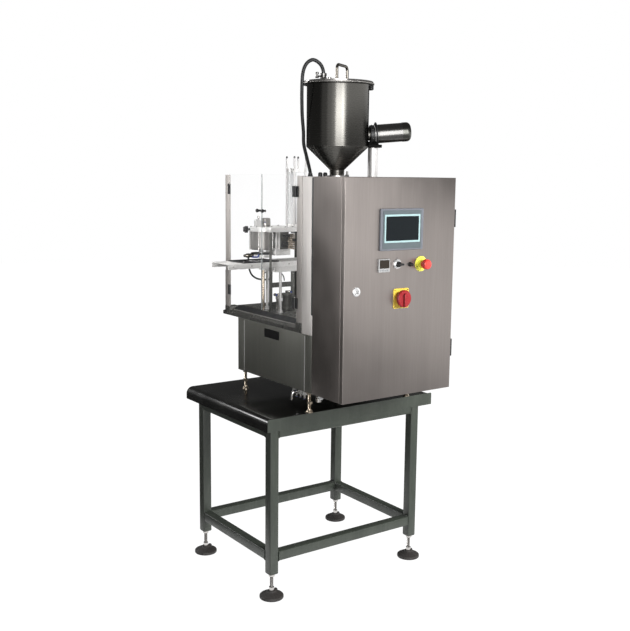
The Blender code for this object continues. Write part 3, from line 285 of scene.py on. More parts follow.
FINISHES = {
    "paint": (painted_finish(), "stand_paint"),
    "laminate": (laminate_finish(), "worktop"),
    "brushed": (brushed_finish("brushed_steel", (0.335, 0.302, 0.285), 0.37, 0.22), "brushed"),
    "wall": (brushed_finish("wall_steel", (0.58, 0.555, 0.535), 0.60, 0.3, metallic=0.8), "brushed"),
    "post": (brushed_finish("post_steel", (0.40, 0.375, 0.355), 0.48, 0.4, metallic=0.7), "brushed"),
    # The hopper's spun steel is far darker than the lid's: painted shade of the dark surroundings it
    # reflects.
    "hopper": (polished_finish("satin_steel", (0.165, 0.160, 0.148), 0.27, 0.8, spun=True), "polished"),
    "satin_grey": (polished_finish("satin_grey", (0.30, 0.29, 0.275), 0.34, metallic=0.55), "polished"),
    "pale": (polished_finish("satin_aluminium", (0.66, 0.65, 0.64), 0.38, metallic=0.35), "aluminium"),
    # Tray steel: a dark steel, made darker still to stand for the dark surroundings it reflects, so
    # partly painted shade.
    "tray": (brushed_finish("tray_steel", (0.17, 0.168, 0.158), 0.26, 0.5, metallic=0.7), "dark_steel"),
    # Base steel: a darker steel, darkened further to stand for the dark surroundings it reflects, so
    # partly painted shade.
    "base": (brushed_finish("base_steel", (0.20, 0.20, 0.178), 0.38, 0.3, metallic=0.6), "dark_steel"),
    "dark": (brushed_finish("dark_steel", (0.145, 0.145, 0.132), 0.34, 0.6), "dark_steel"),
    "polished": (polished_finish("polished_steel", (0.62, 0.60, 0.58), 0.16), "polished"),
    "motor": (polished_finish("motor_steel", (0.19, 0.186, 0.18), 0.30), "polished"),
    # A dark, warm steel for the lid's handle and the heater's gland: a painted reflection of dark
    # surroundings.
    "lid_steel": (polished_finish("lid_steel", (0.26, 0.24, 0.21), 0.24), "polished"),
    "warm_steel": (polished_finish("plated_steel", (0.62, 0.53, 0.42), 0.22), "polished"),
    "aluminium": (machined_finish("milled_aluminium", (0.86, 0.85, 0.83), 0.34), "aluminium"),
    "black": (moulded_finish("black_plastic", (0.014, 0.014, 0.015), 0.42), "black_plastic"),
    "rubber": (moulded_finish("black_rubber", (0.020, 0.021, 0.022), 0.48), "rubber"),
    "foot": (moulded_finish("foot_rubber", (0.040, 0.036, 0.034), 0.62, 0.3), "foot_rubber"),
    "clear": (clear_finish("clear_sheet", (0.90, 0.92, 0.92), 0.018, 0.06), "clear"),
    "clear_edge": (clear_finish("clear_sheet_edge", (0.42, 0.45, 0.45), 0.68, 0.2), "clear"),
    "sleeve": (clear_finish("frosted_tube", (0.84, 0.84, 0.84), 0.62, 0.3), "sleeve"),
    "housing": (moulded_finish("pale_housing", (0.16, 0.170, 0.195), 0.40), "lilac"),
    "pale_plastic": (moulded_finish("pale_plastic", (0.42, 0.42, 0.42), 0.40), "lilac"),
    "bright": (polished_finish("bright_plating", (0.92, 0.92, 0.92), 0.22, metallic=0.5), "chrome"),
    "panel_face": (moulded_finish("panel_face", (0.105, 0.130, 0.140), 0.42), "lilac"),
    "panel_frame": (moulded_finish("panel_frame", (0.42, 0.60, 0.61), 0.35), "lilac"),
    "screen": (screen_finish(), "black_plastic"),
    "window": (moulded_finish("tinted_window", (0.030, 0.024, 0.018), 0.30, Specular_IOR_Level=0.2),
               "black_plastic"),
    "yellow": (moulded_finish("yellow_plastic", (0.98, 0.96, 0.12), 0.36), "yellow"),
    "switch_yellow": (moulded_finish("amber_plastic", (0.98, 0.72, 0.10), 0.34), "yellow"),
    "red": (moulded_finish("red_plastic", (0.86, 0.060, 0.045), 0.30, Coat_Weight=0.3), "red"),
    "switch_red": (moulded_finish("deep_red_plastic", (0.34, 0.012, 0.018), 0.30), "red"),
    "ink": (moulded_finish("black_print", (0.008, 0.008, 0.008), 0.7, Specular_IOR_Level=0.05),
            "black_plastic"),
    "chrome": (polished_finish("chrome_plate", (0.80, 0.80, 0.80), 0.07, 0.0), "chrome"),
    "lead": (woven_finish(), "aluminium"),
    "blue": (moulded_finish("blue_air_tube", (0.04, 0.07, 0.30), 0.3), "rubber"),
    "relay": (moulded_finish("grey_module", (0.32, 0.33, 0.34), 0.5), "lilac"),
}


# ------------------------------------------------------------------ making pieces


def fit(name, mesh, finish, body="machine", replaces=(), sharp=35):
    """Gives a finished mesh its material and shading, and sets it on its body."""
    material, slot = FINISHES[finish]
    mesh.materials.clear()
    mesh.materials.append(material)
    mesh.shade_smooth()
    mesh.set_sharp_from_angle(angle=radians(sharp))
    made = bpy.data.objects.new(name, mesh)
    bpy.context.scene.collection.objects.link(made)
    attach(made, body)
    if replaces:
        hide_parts(*replaces)
    return made


def piece(name, shape, finish, body="machine", replaces=(), ease=0.0, steps=3, sharp=35):
    """Turns a bmesh into a piece. ease is the radius of its edges."""
    bmesh.ops.recalc_face_normals(shape, faces=shape.faces)
    mesh = bpy.data.meshes.new(name)
    shape.to_mesh(mesh)
    shape.free()
    made = fit(name, mesh, finish, body, replaces, 180 if ease else sharp)
    if ease:
        bevel = made.modifiers.new("eased_edges", "BEVEL")
        bevel.width = ease
        bevel.segments = steps
        bevel.limit_method = "ANGLE"
        bevel.angle_limit = radians(28)
        bevel.harden_normals = True
    return made


def refined(node, finish, ease, body="machine", steps=3):
    """The frame's own shape, cleaned up and with its edges eased."""
    shape = bmesh.new()
    shape.from_mesh(frame["nodes"][node].data)
    bmesh.ops.remove_doubles(shape, verts=shape.verts, dist=1e-5)
    bmesh.ops.dissolve_limit(shape, angle_limit=radians(1), verts=shape.verts, edges=shape.edges)
    return piece(node + "_finished", shape, finish, body, (node,), ease, steps)


def facing(place, out):
    """The transform that stands a shape made along +Z on place, pointing out."""
    turn = Vector(out).to_track_quat("Z", "Y").to_matrix().to_4x4()
    return Matrix.Translation(place) @ turn


def add_block(shape, low, high):
    size = Vector(high) - Vector(low)
    middle = Matrix.Translation((Vector(high) + Vector(low)) / 2)
    bmesh.ops.create_cube(shape, size=1, matrix=middle @ Matrix.Diagonal((*size, 1)))


def block(name, low, high, finish, ease=0.0008, body="machine", replaces=()):
    """A box between two points that are given as at() takes them."""
    shape = bmesh.new()
    add_block(shape, at(*low), at(*high))
    return piece(name, shape, finish, body, replaces, ease)


def add_turned(shape, profile, place, out=UP, sides=64):
    """A profile of (radius, height), turned. It is closed at its poles, or else it is a ring."""
    matrix = facing(place, out)
    rings = []
    for radius, height in profile:
        if radius < 1e-7:
            rings.append([shape.verts.new(matrix @ Vector((0, 0, height)))])
            continue
        rings.append([shape.verts.new(matrix @ Vector((radius * x, radius * y, height)))
                      for x, y in around(sides)])
    solid = profile[0][0] < 1e-7
    pairs = list(zip(rings, rings[1:]))
    if not solid:
        pairs.append((rings[-1], rings[0]))
    for lower, upper in pairs:
        for n in range(sides):
            m = (n + 1) % sides
            corners = [lower[n % len(lower)], lower[m % len(lower)],
                       upper[m % len(upper)], upper[n % len(upper)]]
            unique = list(dict.fromkeys(corners))
            if len(unique) > 2:
                shape.faces.new(unique)


def turned(name, profile, place, finish, body="machine", replaces=(), out=UP, ease=0.0005, sides=64):
    shape = bmesh.new()
    add_turned(shape, profile, place, out, sides)
    return piece(name, shape, finish, body, replaces, ease, 2)


def arc(middle, radius, start, end, steps):
    """Points on an arc, with its angles in degrees."""
    angles = [radians(start + (end - start) * n / steps) for n in range(steps + 1)]
    return [(middle[0] + radius * cos(a), middle[1] + radius * sin(a)) for a in angles]


def rounded_outline(width, height, radius, steps=6):
    """A rectangle round (0, 0) with round corners."""
    x, y = width / 2 - radius, height / 2 - radius
    corners = ((x, y, 0), (-x, y, 90), (-x, -y, 180), (x, -y, 270))
    return [p for cx, cy, a in corners for p in arc((cx, cy), radius, a, a + 90, steps)]


def add_walls(shape, lower, upper):
    """Faces between two closed loops of vertices."""
    for n in range(len(lower)):
        m = (n + 1) % len(lower)
        shape.faces.new((lower[n], lower[m], upper[m], upper[n]))


def add_loft(shape, sections):
    """A solid through closed loops of points, one after another."""
    rings = [[shape.verts.new(point) for point in section] for section in sections]
    for lower, upper in zip(rings, rings[1:]):
        add_walls(shape, lower, upper)
    shape.faces.new(rings[0])
    shape.faces.new(rings[-1])


def add_prism(shape, outline, place, out, low, high):
    """An outline stood on place: its own X is level, and it rises from low to high along out."""
    normal = Vector(out).normalized()
    level = UP.cross(normal) if abs(normal.z) < 0.9 else RIGHT
    across = normal.cross(level)
    add_loft(shape, [[Vector(place) + level * x + across * y + normal * rise for x, y in outline]
                     for rise in (low, high)])


def plate(name, outline, place, out, low, high, finish, body="machine", replaces=(), ease=0.0006):
    shape = bmesh.new()
    add_prism(shape, outline, place, out, low, high)
    return piece(name, shape, finish, body, replaces, ease)


def smooth_route(points, steps):
    """Points on a smooth curve through the given ones."""
    route = []
    padded = [points[0]] + points + [points[-1]]
    for a, b, c, d in zip(padded, padded[1:], padded[2:], padded[3:]):
        for n in range(steps):
            t = n / steps
            route.append(0.5 * (2 * b + (c - a) * t + (2 * a - 5 * b + 4 * c - d) * t**2
                                + (3 * b - a - 3 * c + d) * t**3))
    return route + [points[-1]]


def tube(name, route, radius, finish, body="machine", replaces=(), sides=16):
    """A round tube along a route, with its section carried along without twist."""
    behind, ahead = [route[0]] + route[:-1], route[1:] + [route[-1]]
    side = (ahead[0] - behind[0]).orthogonal().normalized()
    sections = []
    for place, before, after in zip(route, behind, ahead):
        along = (after - before).normalized()
        side = (side - along * side.dot(along)).normalized()
        other = along.cross(side)
        sections.append([place + radius * (x * side + y * other) for x, y in around(sides)])
    shape = bmesh.new()
    add_loft(shape, sections)
    return piece(name, shape, finish, body, replaces, sharp=50)


def add_nut(shape, place, out, across, height):
    """A hexagon nut, across wide over its flats."""
    reach = across / 2 / cos(radians(30))
    add_prism(shape, [(reach * x, reach * y) for x, y in around(6)], place, out, 0, height)


def threaded(radius, low, high, pitch=0.0015):
    """The profile of a threaded length, from low to high."""
    count = int((high - low) / pitch)
    profile = []
    for n in range(count):
        z = low + n * pitch
        profile += [(radius * 0.92, z), (radius, z + pitch / 2)]
    return profile


# ------------------------------------------------------------------ what repeats


def new_tree(name, inputs):
    tree = bpy.data.node_groups.new(name, "GeometryNodeTree")
    tree.interface.new_socket("Geometry", in_out="INPUT", socket_type="NodeSocketGeometry")
    for label, kind in inputs:
        tree.interface.new_socket(label, in_out="INPUT", socket_type="NodeSocket" + kind)
    tree.interface.new_socket("Geometry", in_out="OUTPUT", socket_type="NodeSocketGeometry")
    return tree


def end_tree(tree, start, geometry):
    """Ends a tree as plain geometry in the given material."""
    real = tree_node(tree, "GeometryNodeRealizeInstances", [("Geometry", geometry)])
    smooth = tree_node(tree, "GeometryNodeSetShadeSmooth", [("Geometry", real.outputs[0])])
    coated = tree_node(tree, "GeometryNodeSetMaterial", [("Geometry", smooth.outputs[0]),
                                                         ("Material", start.outputs["Material"])])
    tree_node(tree, "NodeGroupOutput", [("Geometry", coated.outputs[0])])


def screw_tree():
    """Sets one screw head on each point, turned to face along its outward attribute."""
    tree = new_tree("screws", [("Head", "Object"), ("Size", "Float"), ("Material", "Material")])
    start = tree_node(tree, "NodeGroupInput")
    outward = tree_node(tree, "GeometryNodeInputNamedAttribute", [("Name", "outward")],
                        data_type="FLOAT_VECTOR")
    turn = tree_node(tree, "FunctionNodeAlignRotationToVector",
                     [("Vector", outward.outputs["Attribute"])], axis="Z")
    head = tree_node(tree, "GeometryNodeObjectInfo", [("Object", start.outputs["Head"])])
    placed = tree_node(tree, "GeometryNodeInstanceOnPoints",
                       [("Points", start.outputs["Geometry"]), ("Instance", head.outputs["Geometry"]),
                        ("Rotation", turn.outputs["Rotation"]), ("Scale", start.outputs["Size"])])
    end_tree(tree, start, placed.outputs[0])
    return tree


def weld_tree():
    """Lays overlapping ripples of weld metal along each edge of the given mesh."""
    tree = new_tree("weld_ripples", [("Pitch", "Float"), ("Bead Radius", "Float"),
                                     ("Material", "Material")])
    start = tree_node(tree, "NodeGroupInput")
    line = tree_node(tree, "GeometryNodeMeshToCurve", [("Mesh", start.outputs["Geometry"])])
    even = tree_node(tree, "GeometryNodeResampleCurve",
                     [("Curve", line.outputs[0]), ("Length", start.outputs["Pitch"])], mode="LENGTH")
    along = tree_node(tree, "GeometryNodeInputTangent")
    turn = tree_node(tree, "FunctionNodeAlignRotationToVector", [("Vector", along.outputs[0])],
                     axis="Z")
    bead = tree_node(tree, "GeometryNodeMeshUVSphere",
                     [("Segments", 8), ("Rings", 5), ("Radius", start.outputs["Bead Radius"])])
    placed = tree_node(tree, "GeometryNodeInstanceOnPoints",
                       [("Points", even.outputs[0]), ("Instance", bead.outputs["Mesh"]),
                        ("Rotation", turn.outputs["Rotation"]), ("Scale", (1.0, 1.0, 0.75))])
    end_tree(tree, start, placed.outputs[0])
    return tree


def coil_tree():
    """Winds a round wire into a helix."""
    inputs = [("Turns", "Float"), ("Coil Radius", "Float"), ("Height", "Float"),
              ("Wire Radius", "Float"), ("Place", "Vector"), ("Material", "Material")]
    tree = new_tree("wound_coil", inputs)
    start = tree_node(tree, "NodeGroupInput")
    radius = start.outputs["Coil Radius"]
    line = tree_node(tree, "GeometryNodeCurveSpiral",
                     [("Resolution", 28), ("Rotations", start.outputs["Turns"]),
                      ("Start Radius", radius), ("End Radius", radius),
                      ("Height", start.outputs["Height"])])
    section = tree_node(tree, "GeometryNodeCurvePrimitiveCircle",
                        [("Resolution", 12), ("Radius", start.outputs["Wire Radius"])])
    wire = tree_node(tree, "GeometryNodeCurveToMesh",
                     [("Curve", line.outputs[0]), ("Profile Curve", section.outputs["Curve"]),
                      ("Fill Caps", True)])
    moved = tree_node(tree, "GeometryNodeTransform",
                      [("Geometry", wire.outputs[0]), ("Translation", start.outputs["Place"])])
    end_tree(tree, start, moved.outputs[0])
    return tree


SCREWS, WELDS, COIL = screw_tree(), weld_tree(), coil_tree()


def grown(name, base, tree, values, finish, body="machine"):
    """Runs a tree on a mesh, and keeps the result as a plain piece."""
    source = bpy.data.objects.new(name + "_source", base)
    bpy.context.scene.collection.objects.link(source)
    grow = source.modifiers.new("grow", "NODES")
    grow.node_group = tree
    values = {**values, "Material": FINISHES[finish][0]}
    for socket in tree.interface.items_tree:
        if socket.in_out == "INPUT" and socket.name in values:
            grow[socket.identifier] = values[socket.name]
    evaluated = source.evaluated_get(bpy.context.evaluated_depsgraph_get())
    mesh = bpy.data.meshes.new_from_object(evaluated)
    bpy.data.objects.remove(source)
    return fit(name, mesh, finish, body)


def screw_head():
    """A button head, 1 across, with a round socket in it."""
    shape = bmesh.new()
    profile = [(0, 0.12), (0.21, 0.12), (0.23, 0.30), (0.34, 0.27), (0.46, 0.14), (0.5, 0.0), (0, 0)]
    add_turned(shape, profile, Vector(), sides=16)
    bmesh.ops.recalc_face_normals(shape, faces=shape.faces)
    mesh = bpy.data.meshes.new("screw_head")
    shape.to_mesh(mesh)
    shape.free()
    return bpy.data.objects.new("screw_head", mesh)


SCREW_HEAD = screw_head()


def screws(name, spots, size, finish="polished", body="machine"):
    """Screw heads at (place, direction) spots."""
    base = bpy.data.meshes.new(name)
    base.from_pydata([place for place, _ in spots], [], [])
    outward = base.attributes.new("outward", "FLOAT_VECTOR", "POINT")
    for item, (_, direction) in zip(outward.data, spots):
        item.vector = direction
    return grown(name, base, SCREWS, {"Head": SCREW_HEAD, "Size": size}, finish, body)


# ------------------------------------------------------------------ stand

TUBE = 0.040
TUBE_WALL = 0.002
FRAME_LOW, FRAME_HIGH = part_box("table_frame")
STRETCHER = (0.154, 0.194)
RAIL = (FRAME_HIGH.z - TUBE, FRAME_HIGH.z)


def add_square_tube(shape, start, end):
    """An open square tube with rolled corners."""
    along = (end - start).normalized()
    side = UP.cross(along) if abs(along.z) < 0.9 else RIGHT
    across = along.cross(side)
    skins = []
    for size, corner in ((TUBE, 0.0045), (TUBE - 2 * TUBE_WALL, 0.0025)):
        outline = rounded_outline(size, size, corner, 4)
        skins.append([[shape.verts.new(place + side * x + across * y) for x, y in outline]
                      for place in (start, end)])
    count = len(skins[0][0])
    for n in range(count):
        m = (n + 1) % count
        (outer_a, outer_b), (inner_a, inner_b) = skins
        shape.faces.new((outer_a[n], outer_a[m], outer_b[m], outer_b[n]))
        shape.faces.new((inner_a[n], inner_b[n], inner_b[m], inner_a[m]))
        shape.faces.new((outer_a[n], inner_a[n], inner_a[m], outer_a[m]))
        shape.faces.new((outer_b[n], outer_b[m], inner_b[m], inner_b[n]))


def frame_runs():
    """Start and end of every tube in the stand: four legs, then the stretchers and rails."""
    half = TUBE / 2
    xs = (FRAME_LOW.x + half, FRAME_HIGH.x - half)
    ys = (FRAME_LOW.y + half, FRAME_HIGH.y - half)
    legs = [(Vector((x, y, FRAME_LOW.z)), Vector((x, y, FRAME_HIGH.z))) for x in xs for y in ys]
    bars = []
    for low, high in (STRETCHER, RAIL):
        z = (low + high) / 2
        bars += [(Vector((xs[0] + half, y, z)), Vector((xs[1] - half, y, z))) for y in ys]
        bars += [(Vector((x, ys[0] + half, z)), Vector((x, ys[1] - half, z))) for x in xs]
    return legs, bars


def stand_frame():
    legs, bars = frame_runs()
    shape = bmesh.new()
    for start, end in legs + bars:
        add_square_tube(shape, start, end)
    piece("stand_tubes", shape, "paint", replaces=("table_frame",))


def stand_welds():
    """A painted weld round the end of every bar."""
    points, edges = [], []
    reach = TUBE / 2 + 0.0004
    for start, end in frame_runs()[1]:
        along = (end - start).normalized()
        side = UP.cross(along)
        for place, inward in ((start, along), (end, -along)):
            first = len(points)
            for x, y in rounded_outline(2 * reach, 2 * reach, 0.004, 3):
                points.append(place + inward * 0.0012 + side * x + UP * y)
            count = len(points) - first
            edges += [(first + n, first + (n + 1) % count) for n in range(count)]
    base = bpy.data.meshes.new("weld_lines")
    base.from_pydata(points, edges, [])
    grown("stand_welds", base, WELDS, {"Pitch": 0.0028, "Bead Radius": 0.0021}, "paint")


def stand_top():
    """A black top with rolled ends, and a painted apron across its front and its back."""
    low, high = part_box("table_top")
    roll, sheet, apron = 0.030, 0.003, 0.003
    width = high.x - low.x

    def skin(inset):
        r = roll - inset
        side = arc((roll, -roll), r, 180, 90, 12)
        return [(inset, low.z - high.z)] + side + [(width - x, z) for x, z in reversed(side)] + \
            [(width - inset, low.z - high.z)]

    outline = skin(0) + list(reversed(skin(sheet)))
    shape = bmesh.new()
    ends = [[shape.verts.new((low.x + x, y, high.z + z)) for x, z in outline]
            for y in (low.y + apron, high.y - apron)]
    add_walls(shape, *ends)
    count = len(outline)
    for end in ends:
        for n in range(count // 2 - 1):
            shape.faces.new((end[n], end[n + 1], end[count - 2 - n], end[count - 1 - n]))
    piece("worktop", shape, "laminate", replaces=("table_top",), sharp=40)
    corner = arc((0.0054, -0.0056), 0.005, 180, 90, 5)
    square = [(0.0004, low.z - high.z)] + corner + [(width - x, z) for x, z in reversed(corner)] + \
        [(width - 0.0004, low.z - high.z)]
    ends = (("front", low.y, square), ("back", high.y - apron + CLEAR, skin(0.0004)))
    for name, y, shown in ends:
        shape = bmesh.new()
        add_loft(shape, [[(low.x + x, depth, high.z + z) for x, z in shown]
                         for depth in (y, y + apron - CLEAR)])
        piece(f"{name}_apron", shape, "paint", ease=0.0008)
    shape = bmesh.new()
    for n in range(5):
        x = low.x + 0.06 + n * (width - 0.12) / 4
        add_block(shape, (x - 0.015, low.y + 0.05, high.z - sheet - 0.022),
                  (x + 0.015, high.y - 0.05, high.z - sheet))
    piece("top_battens", shape, "paint", ease=0.001)


def stand_feet():
    """A domed rubber disc with its ear, a threaded stud, two nuts and the leg's plug."""
    half = TUBE / 2
    radius = 0.0487
    dome = [(0, 0.0005), (radius - 0.004, 0.0)] + arc((radius - 0.0035, 0.0035), 0.0035, -90, 0, 5)
    dome += [(radius, 0.008)] + arc((radius - 0.006, 0.008), 0.006, 20, 70, 4)
    dome += [(0.038, 0.0172), (0.030, 0.0205), (0.021, 0.0232), (0.0165, 0.0262), (0.0155, 0.030),
             (0.012, 0.0315), (0, 0.0315)]
    stud = [(0, 0.030), (0.0095, 0.030), (0.0095, 0.036), (0.0070, 0.0375)]
    stud += threaded(0.0070, 0.040, FRAME_LOW.z + 0.006) + [(0, FRAME_LOW.z + 0.006)]
    for side, x in (("left", FRAME_LOW.x + half), ("right", FRAME_HIGH.x - half)):
        for row, y in (("front", FRAME_LOW.y + half), ("rear", FRAME_HIGH.y - half)):
            place = Vector((x, y, 0))
            shape = bmesh.new()
            add_turned(shape, dome, place, sides=72)
            add_turned(shape, [(0, 0.010), (0.0085, 0.010), (0.0085, 0.0205), (0.006, 0.0235),
                               (0, 0.0240)], place + Vector((0.030, 0.018, 0)), sides=24)
            piece(f"foot_pad_{row}_{side}", shape, "foot", replaces=(f"stand_foot_{row}_{side}",),
                  sharp=50)
            shape = bmesh.new()
            add_turned(shape, stud, place, sides=28)
            add_nut(shape, place + UP * 0.0365, UP, 0.020, 0.008)
            add_nut(shape, place + UP * (FRAME_LOW.z - 0.0135), UP, 0.024, 0.010)
            piece(f"foot_stud_{row}_{side}", shape, "polished", sharp=25)
            inner = TUBE - 2 * TUBE_WALL - CLEAR
            plug = rounded_outline(inner, inner, 0.0024)
            plate(f"leg_plug_{row}_{side}", plug, Vector((x, y, FRAME_LOW.z)), UP, -0.003, 0.012,
                  "black")


# ------------------------------------------------------------------ base, tray and bay


def base_and_tray():
    for node, finish, ease in (("base_box", "base", 0.0015), ("base_side_cover", "base", 0.0006),
                               ("tray", "tray", 0.0014), ("bay_wall", "wall", 0.0022),
                               ("near_post", "post", 0.0008), ("far_post", "post", 0.0008)):
        refined(node, finish, ease)
    # A black strip fills the gap between the cabinet's back and the bay wall.
    block("wall_seal", (0.0008, 0.2003, 0.3113), (0.543, 0.2117, 0.841), "rubber", 0.0015)
    low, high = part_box("base_side_cover")
    outline = rounded_outline(0.110, 0.036, 0.002)
    y, z = 0.489, 0.196
    plate("name_plate", outline, at(-CLEAR, y, z), LEFT, 0, 0.0014, "ink", ease=0.0004)
    spots = [(at(-0.0017, y + dy, z + dz), LEFT) for dy in (-0.050, 0.050) for dz in (-0.013, 0.013)]
    screws("name_plate_rivets", spots, 0.003, "black")
    tray_low, tray_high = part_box("tray")
    start, end = tray_low.y + 0.041 - CORNER.y, tray_high.y - 0.064 - CORNER.y
    # A black strip along the upper half of the slope of the tray's left rim.
    strip = [(0.0215, 0.2582), (0.0455, 0.2715), (0.0455, 0.2739), (0.0200, 0.2598)]
    plate("tray_seal", strip, CORNER, FORWARD, -end, -start, "rubber", ease=0.0006)
    # A paler strip along the outer edge of the tray's left rim: a painted highlight.
    line = [(0.0160, 0.2551), (0.0195, 0.2571), (0.0195, 0.2584), (0.0160, 0.2564)]
    plate("tray_edge_line", line, CORNER, FORWARD, -end, -start, "satin_grey", ease=0.0003)
    # Thin pale strips on the base's left face, at its front and rear upright edges: painted highlights.
    for name, y in (("near", low.y + 0.0032), ("far", high.y - 0.0032)):
        shape = bmesh.new()
        add_block(shape, (low.x - 0.0013, y - 0.0016, low.z + 0.004),
                  (low.x - CLEAR, y + 0.0016, high.z - 0.004))
        piece(f"base_edge_{name}", shape, "pale", ease=0.0004)


def machine_feet():
    """A flared pad, a long stud and two nuts under each corner of the base."""
    high = 0.085
    pad = [(0, CLEAR), (0.0140, CLEAR), (0.0140, 0.003), (0.0125, 0.006), (0.0085, 0.011),
           (0.0075, 0.0145), (0.0065, 0.015)]
    pad += threaded(0.0062, 0.016, high - 0.001) + [(0, high - CLEAR)]
    for side in ("left", "right"):
        for row in ("front", "rear"):
            node = f"machine_foot_{row}_{side}"
            low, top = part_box(node)
            place = Vector(((low.x + top.x) / 2, (low.y + top.y) / 2, low.z - CLEAR))
            shape = bmesh.new()
            add_turned(shape, pad, place, sides=32)
            add_nut(shape, place + UP * 0.036, UP, 0.021, 0.009)
            add_nut(shape, place + UP * (high - 0.009), UP, 0.021, 0.0085)
            piece(node + "_stud", shape, "warm_steel", replaces=(node,), sharp=25)


def push_fitting(name, place, out, finish="polished"):
    """A push-in air fitting: a hexagon, a round body and its release collar."""
    shape = bmesh.new()
    add_nut(shape, place, out, 0.0125, 0.0055)
    add_turned(shape, [(0, 0.005), (0.0064, 0.005), (0.0064, 0.016), (0.0056, 0.018), (0, 0.018)],
               place, out, 28)
    piece(name, shape, finish, sharp=25)
    turned(name + "_collar", [(0, 0.0175), (0.0045, 0.0175), (0.0050, 0.0205), (0, 0.0205)], place,
           "blue", out=out, sides=24)


def air_inlet():
    """The block where the air comes in, below the near left corner of the base."""
    low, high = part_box("air_manifold")
    top, near = high.z, 0.293
    x = (low.x + high.x) / 2
    shape = bmesh.new()
    add_block(shape, (low.x, at(0, near, 0).y, top - 0.026), (high.x, high.y, top))
    piece("air_block", shape, "aluminium", replaces=("air_manifold",), ease=0.0012)

    def beside(dx, y, drop):
        return Vector((x + dx, at(0, y, 0).y, top - drop))

    for n in range(3):
        push_fitting(f"air_fitting_{n}", beside(0, 0.305 + 0.028 * n, 0.026), DOWN)
    push_fitting("air_fitting_side", beside(low.x - x, 0.322, 0.013), LEFT)
    push_fitting("air_fitting_near", beside(0, near, 0.013), FORWARD)
    elbow = [beside(-0.034, 0.322, 0.013), beside(-0.045, 0.322, 0.016), beside(-0.049, 0.324, 0.030),
             beside(-0.049, 0.326, 0.046)]
    tube("air_elbow", smooth_route(elbow, 6), 0.0062, "polished")
    regulator = [(0, 0), (0.013, 0), (0.013, 0.020), (0.010, 0.023), (0.010, 0.036), (0.012, 0.038),
                 (0.012, 0.048), (0.009, 0.051), (0, 0.051)]
    turned("air_regulator", regulator, at(0.078, 0.262, -0.054), "polished", out=UP, sides=36)
    turned("air_gauge", [(0, 0), (0.014, 0), (0.014, 0.008), (0.012, 0.009), (0, 0.009)],
           at(0.078, 0.2485, -0.028), "chrome", out=FORWARD, sides=36)
    bridge = [at(0.054, 0.300, -0.013), at(0.066, 0.296, -0.015), at(0.076, 0.284, -0.020),
              at(0.078, 0.272, -0.026)]
    tube("air_bridge", smooth_route(bridge, 6), 0.0045, "polished")


# ------------------------------------------------------------------ guard


def guard_panels():
    """Clear sheets. Where the two meet, their sawn edges are darker and have their own material."""
    for side in ("near", "far"):
        node = f"guard_door_{side}"
        made = refined(node, "clear", 0.0004, node, 1)
        made.data.materials.append(FINISHES["clear_edge"][0])
        for face in made.data.polygons:
            near_meeting = abs(face.center.y - at(0, GUARD_MEETING, 0).y) < 0.012
            face.material_index = 1 if near_meeting and abs(face.normal.y) > 0.5 else 0


def guard_hinges():
    """Black leaf hinges: the fixed half with its knuckle, the moving leaf, and their screws."""
    fixed, moving, half = [], {"near": [], "far": []}, 0.0215
    for side, inward in (("near", 1), ("far", -1)):
        axis = GUARD_AXES[side]
        for level, middle in GUARD_LEVELS:
            z = (middle - half, middle + half)
            shape = bmesh.new()
            y = sorted((axis - inward * 0.0150, axis - inward * 0.0025))
            add_block(shape, at(-0.0036, y[0], z[0]), at(-CLEAR, y[1], z[1]))
            add_turned(shape, [(0, -half), (0.0045, -half), (0.0045, half), (0, half)],
                       at(-0.006, axis, middle), sides=28)
            name = f"guard_hinge_{side}_{level}"
            piece(name + "_half", shape, "black", replaces=(name,), ease=0.0004)
            y = sorted((axis + inward * 0.0053, axis + inward * 0.0165))
            block(f"guard_leaf_{side}_{level}", (-0.0095, y[0], z[0]), (-0.0063, y[1], z[1]),
                  "black", 0.0006, f"guard_door_{side}")
            for dz in (-0.013, 0.013):
                fixed.append((at(-0.0036, axis - inward * 0.0100, middle + dz), LEFT))
                moving[side].append((at(-0.0095, axis + inward * 0.0110, middle + dz), LEFT))
            pin = [(0, half + 0.0002), (0.0022, half + 0.0002), (0.0022, half + 0.0021),
                   (0, half + 0.0021)]
            turned(f"guard_pin_{side}_{level}", pin, at(-0.006, axis, middle), "polished", sides=20)
    screws("guard_post_screws", fixed, 0.0055, "black")
    for side, spots in moving.items():
        screws(f"guard_leaf_screws_{side}", spots, 0.006, "black", f"guard_door_{side}")


def guard_knobs():
    profile = [(0, 0), (0.0055, 0), (0.0042, 0.003), (0.0038, 0.007), (0.0065, 0.010)]
    profile += arc((0.0035, 0.0155), 0.0042, -20, 80, 6) + [(0, 0.0200)]
    for side, y in (("near", 0.531), ("far", 0.571)):
        turned(f"guard_knob_{side}", profile, at(-0.0063, y, 0.702), "black", f"guard_door_{side}",
               out=LEFT, sides=32)


# ------------------------------------------------------------------ slide


def cup_slide():
    refined("slide_plate", "aluminium", 0.0009, "cup_slide")
    refined("cup_nest", "black", 0.0006, "cup_slide")
    spots = [(at(x, y, SLIDE_TOP), UP) for x in (-0.020, 0.144) for y in (0.680, 0.786)]
    screws("nest_screws", spots, 0.0065, "polished", "cup_slide")
    near = [(at(x, 0.663, 0.4635), FORWARD) for x in (-0.080, 0.010, 0.200, 0.300)]
    screws("slide_screws", near, 0.006, "polished", "cup_slide")


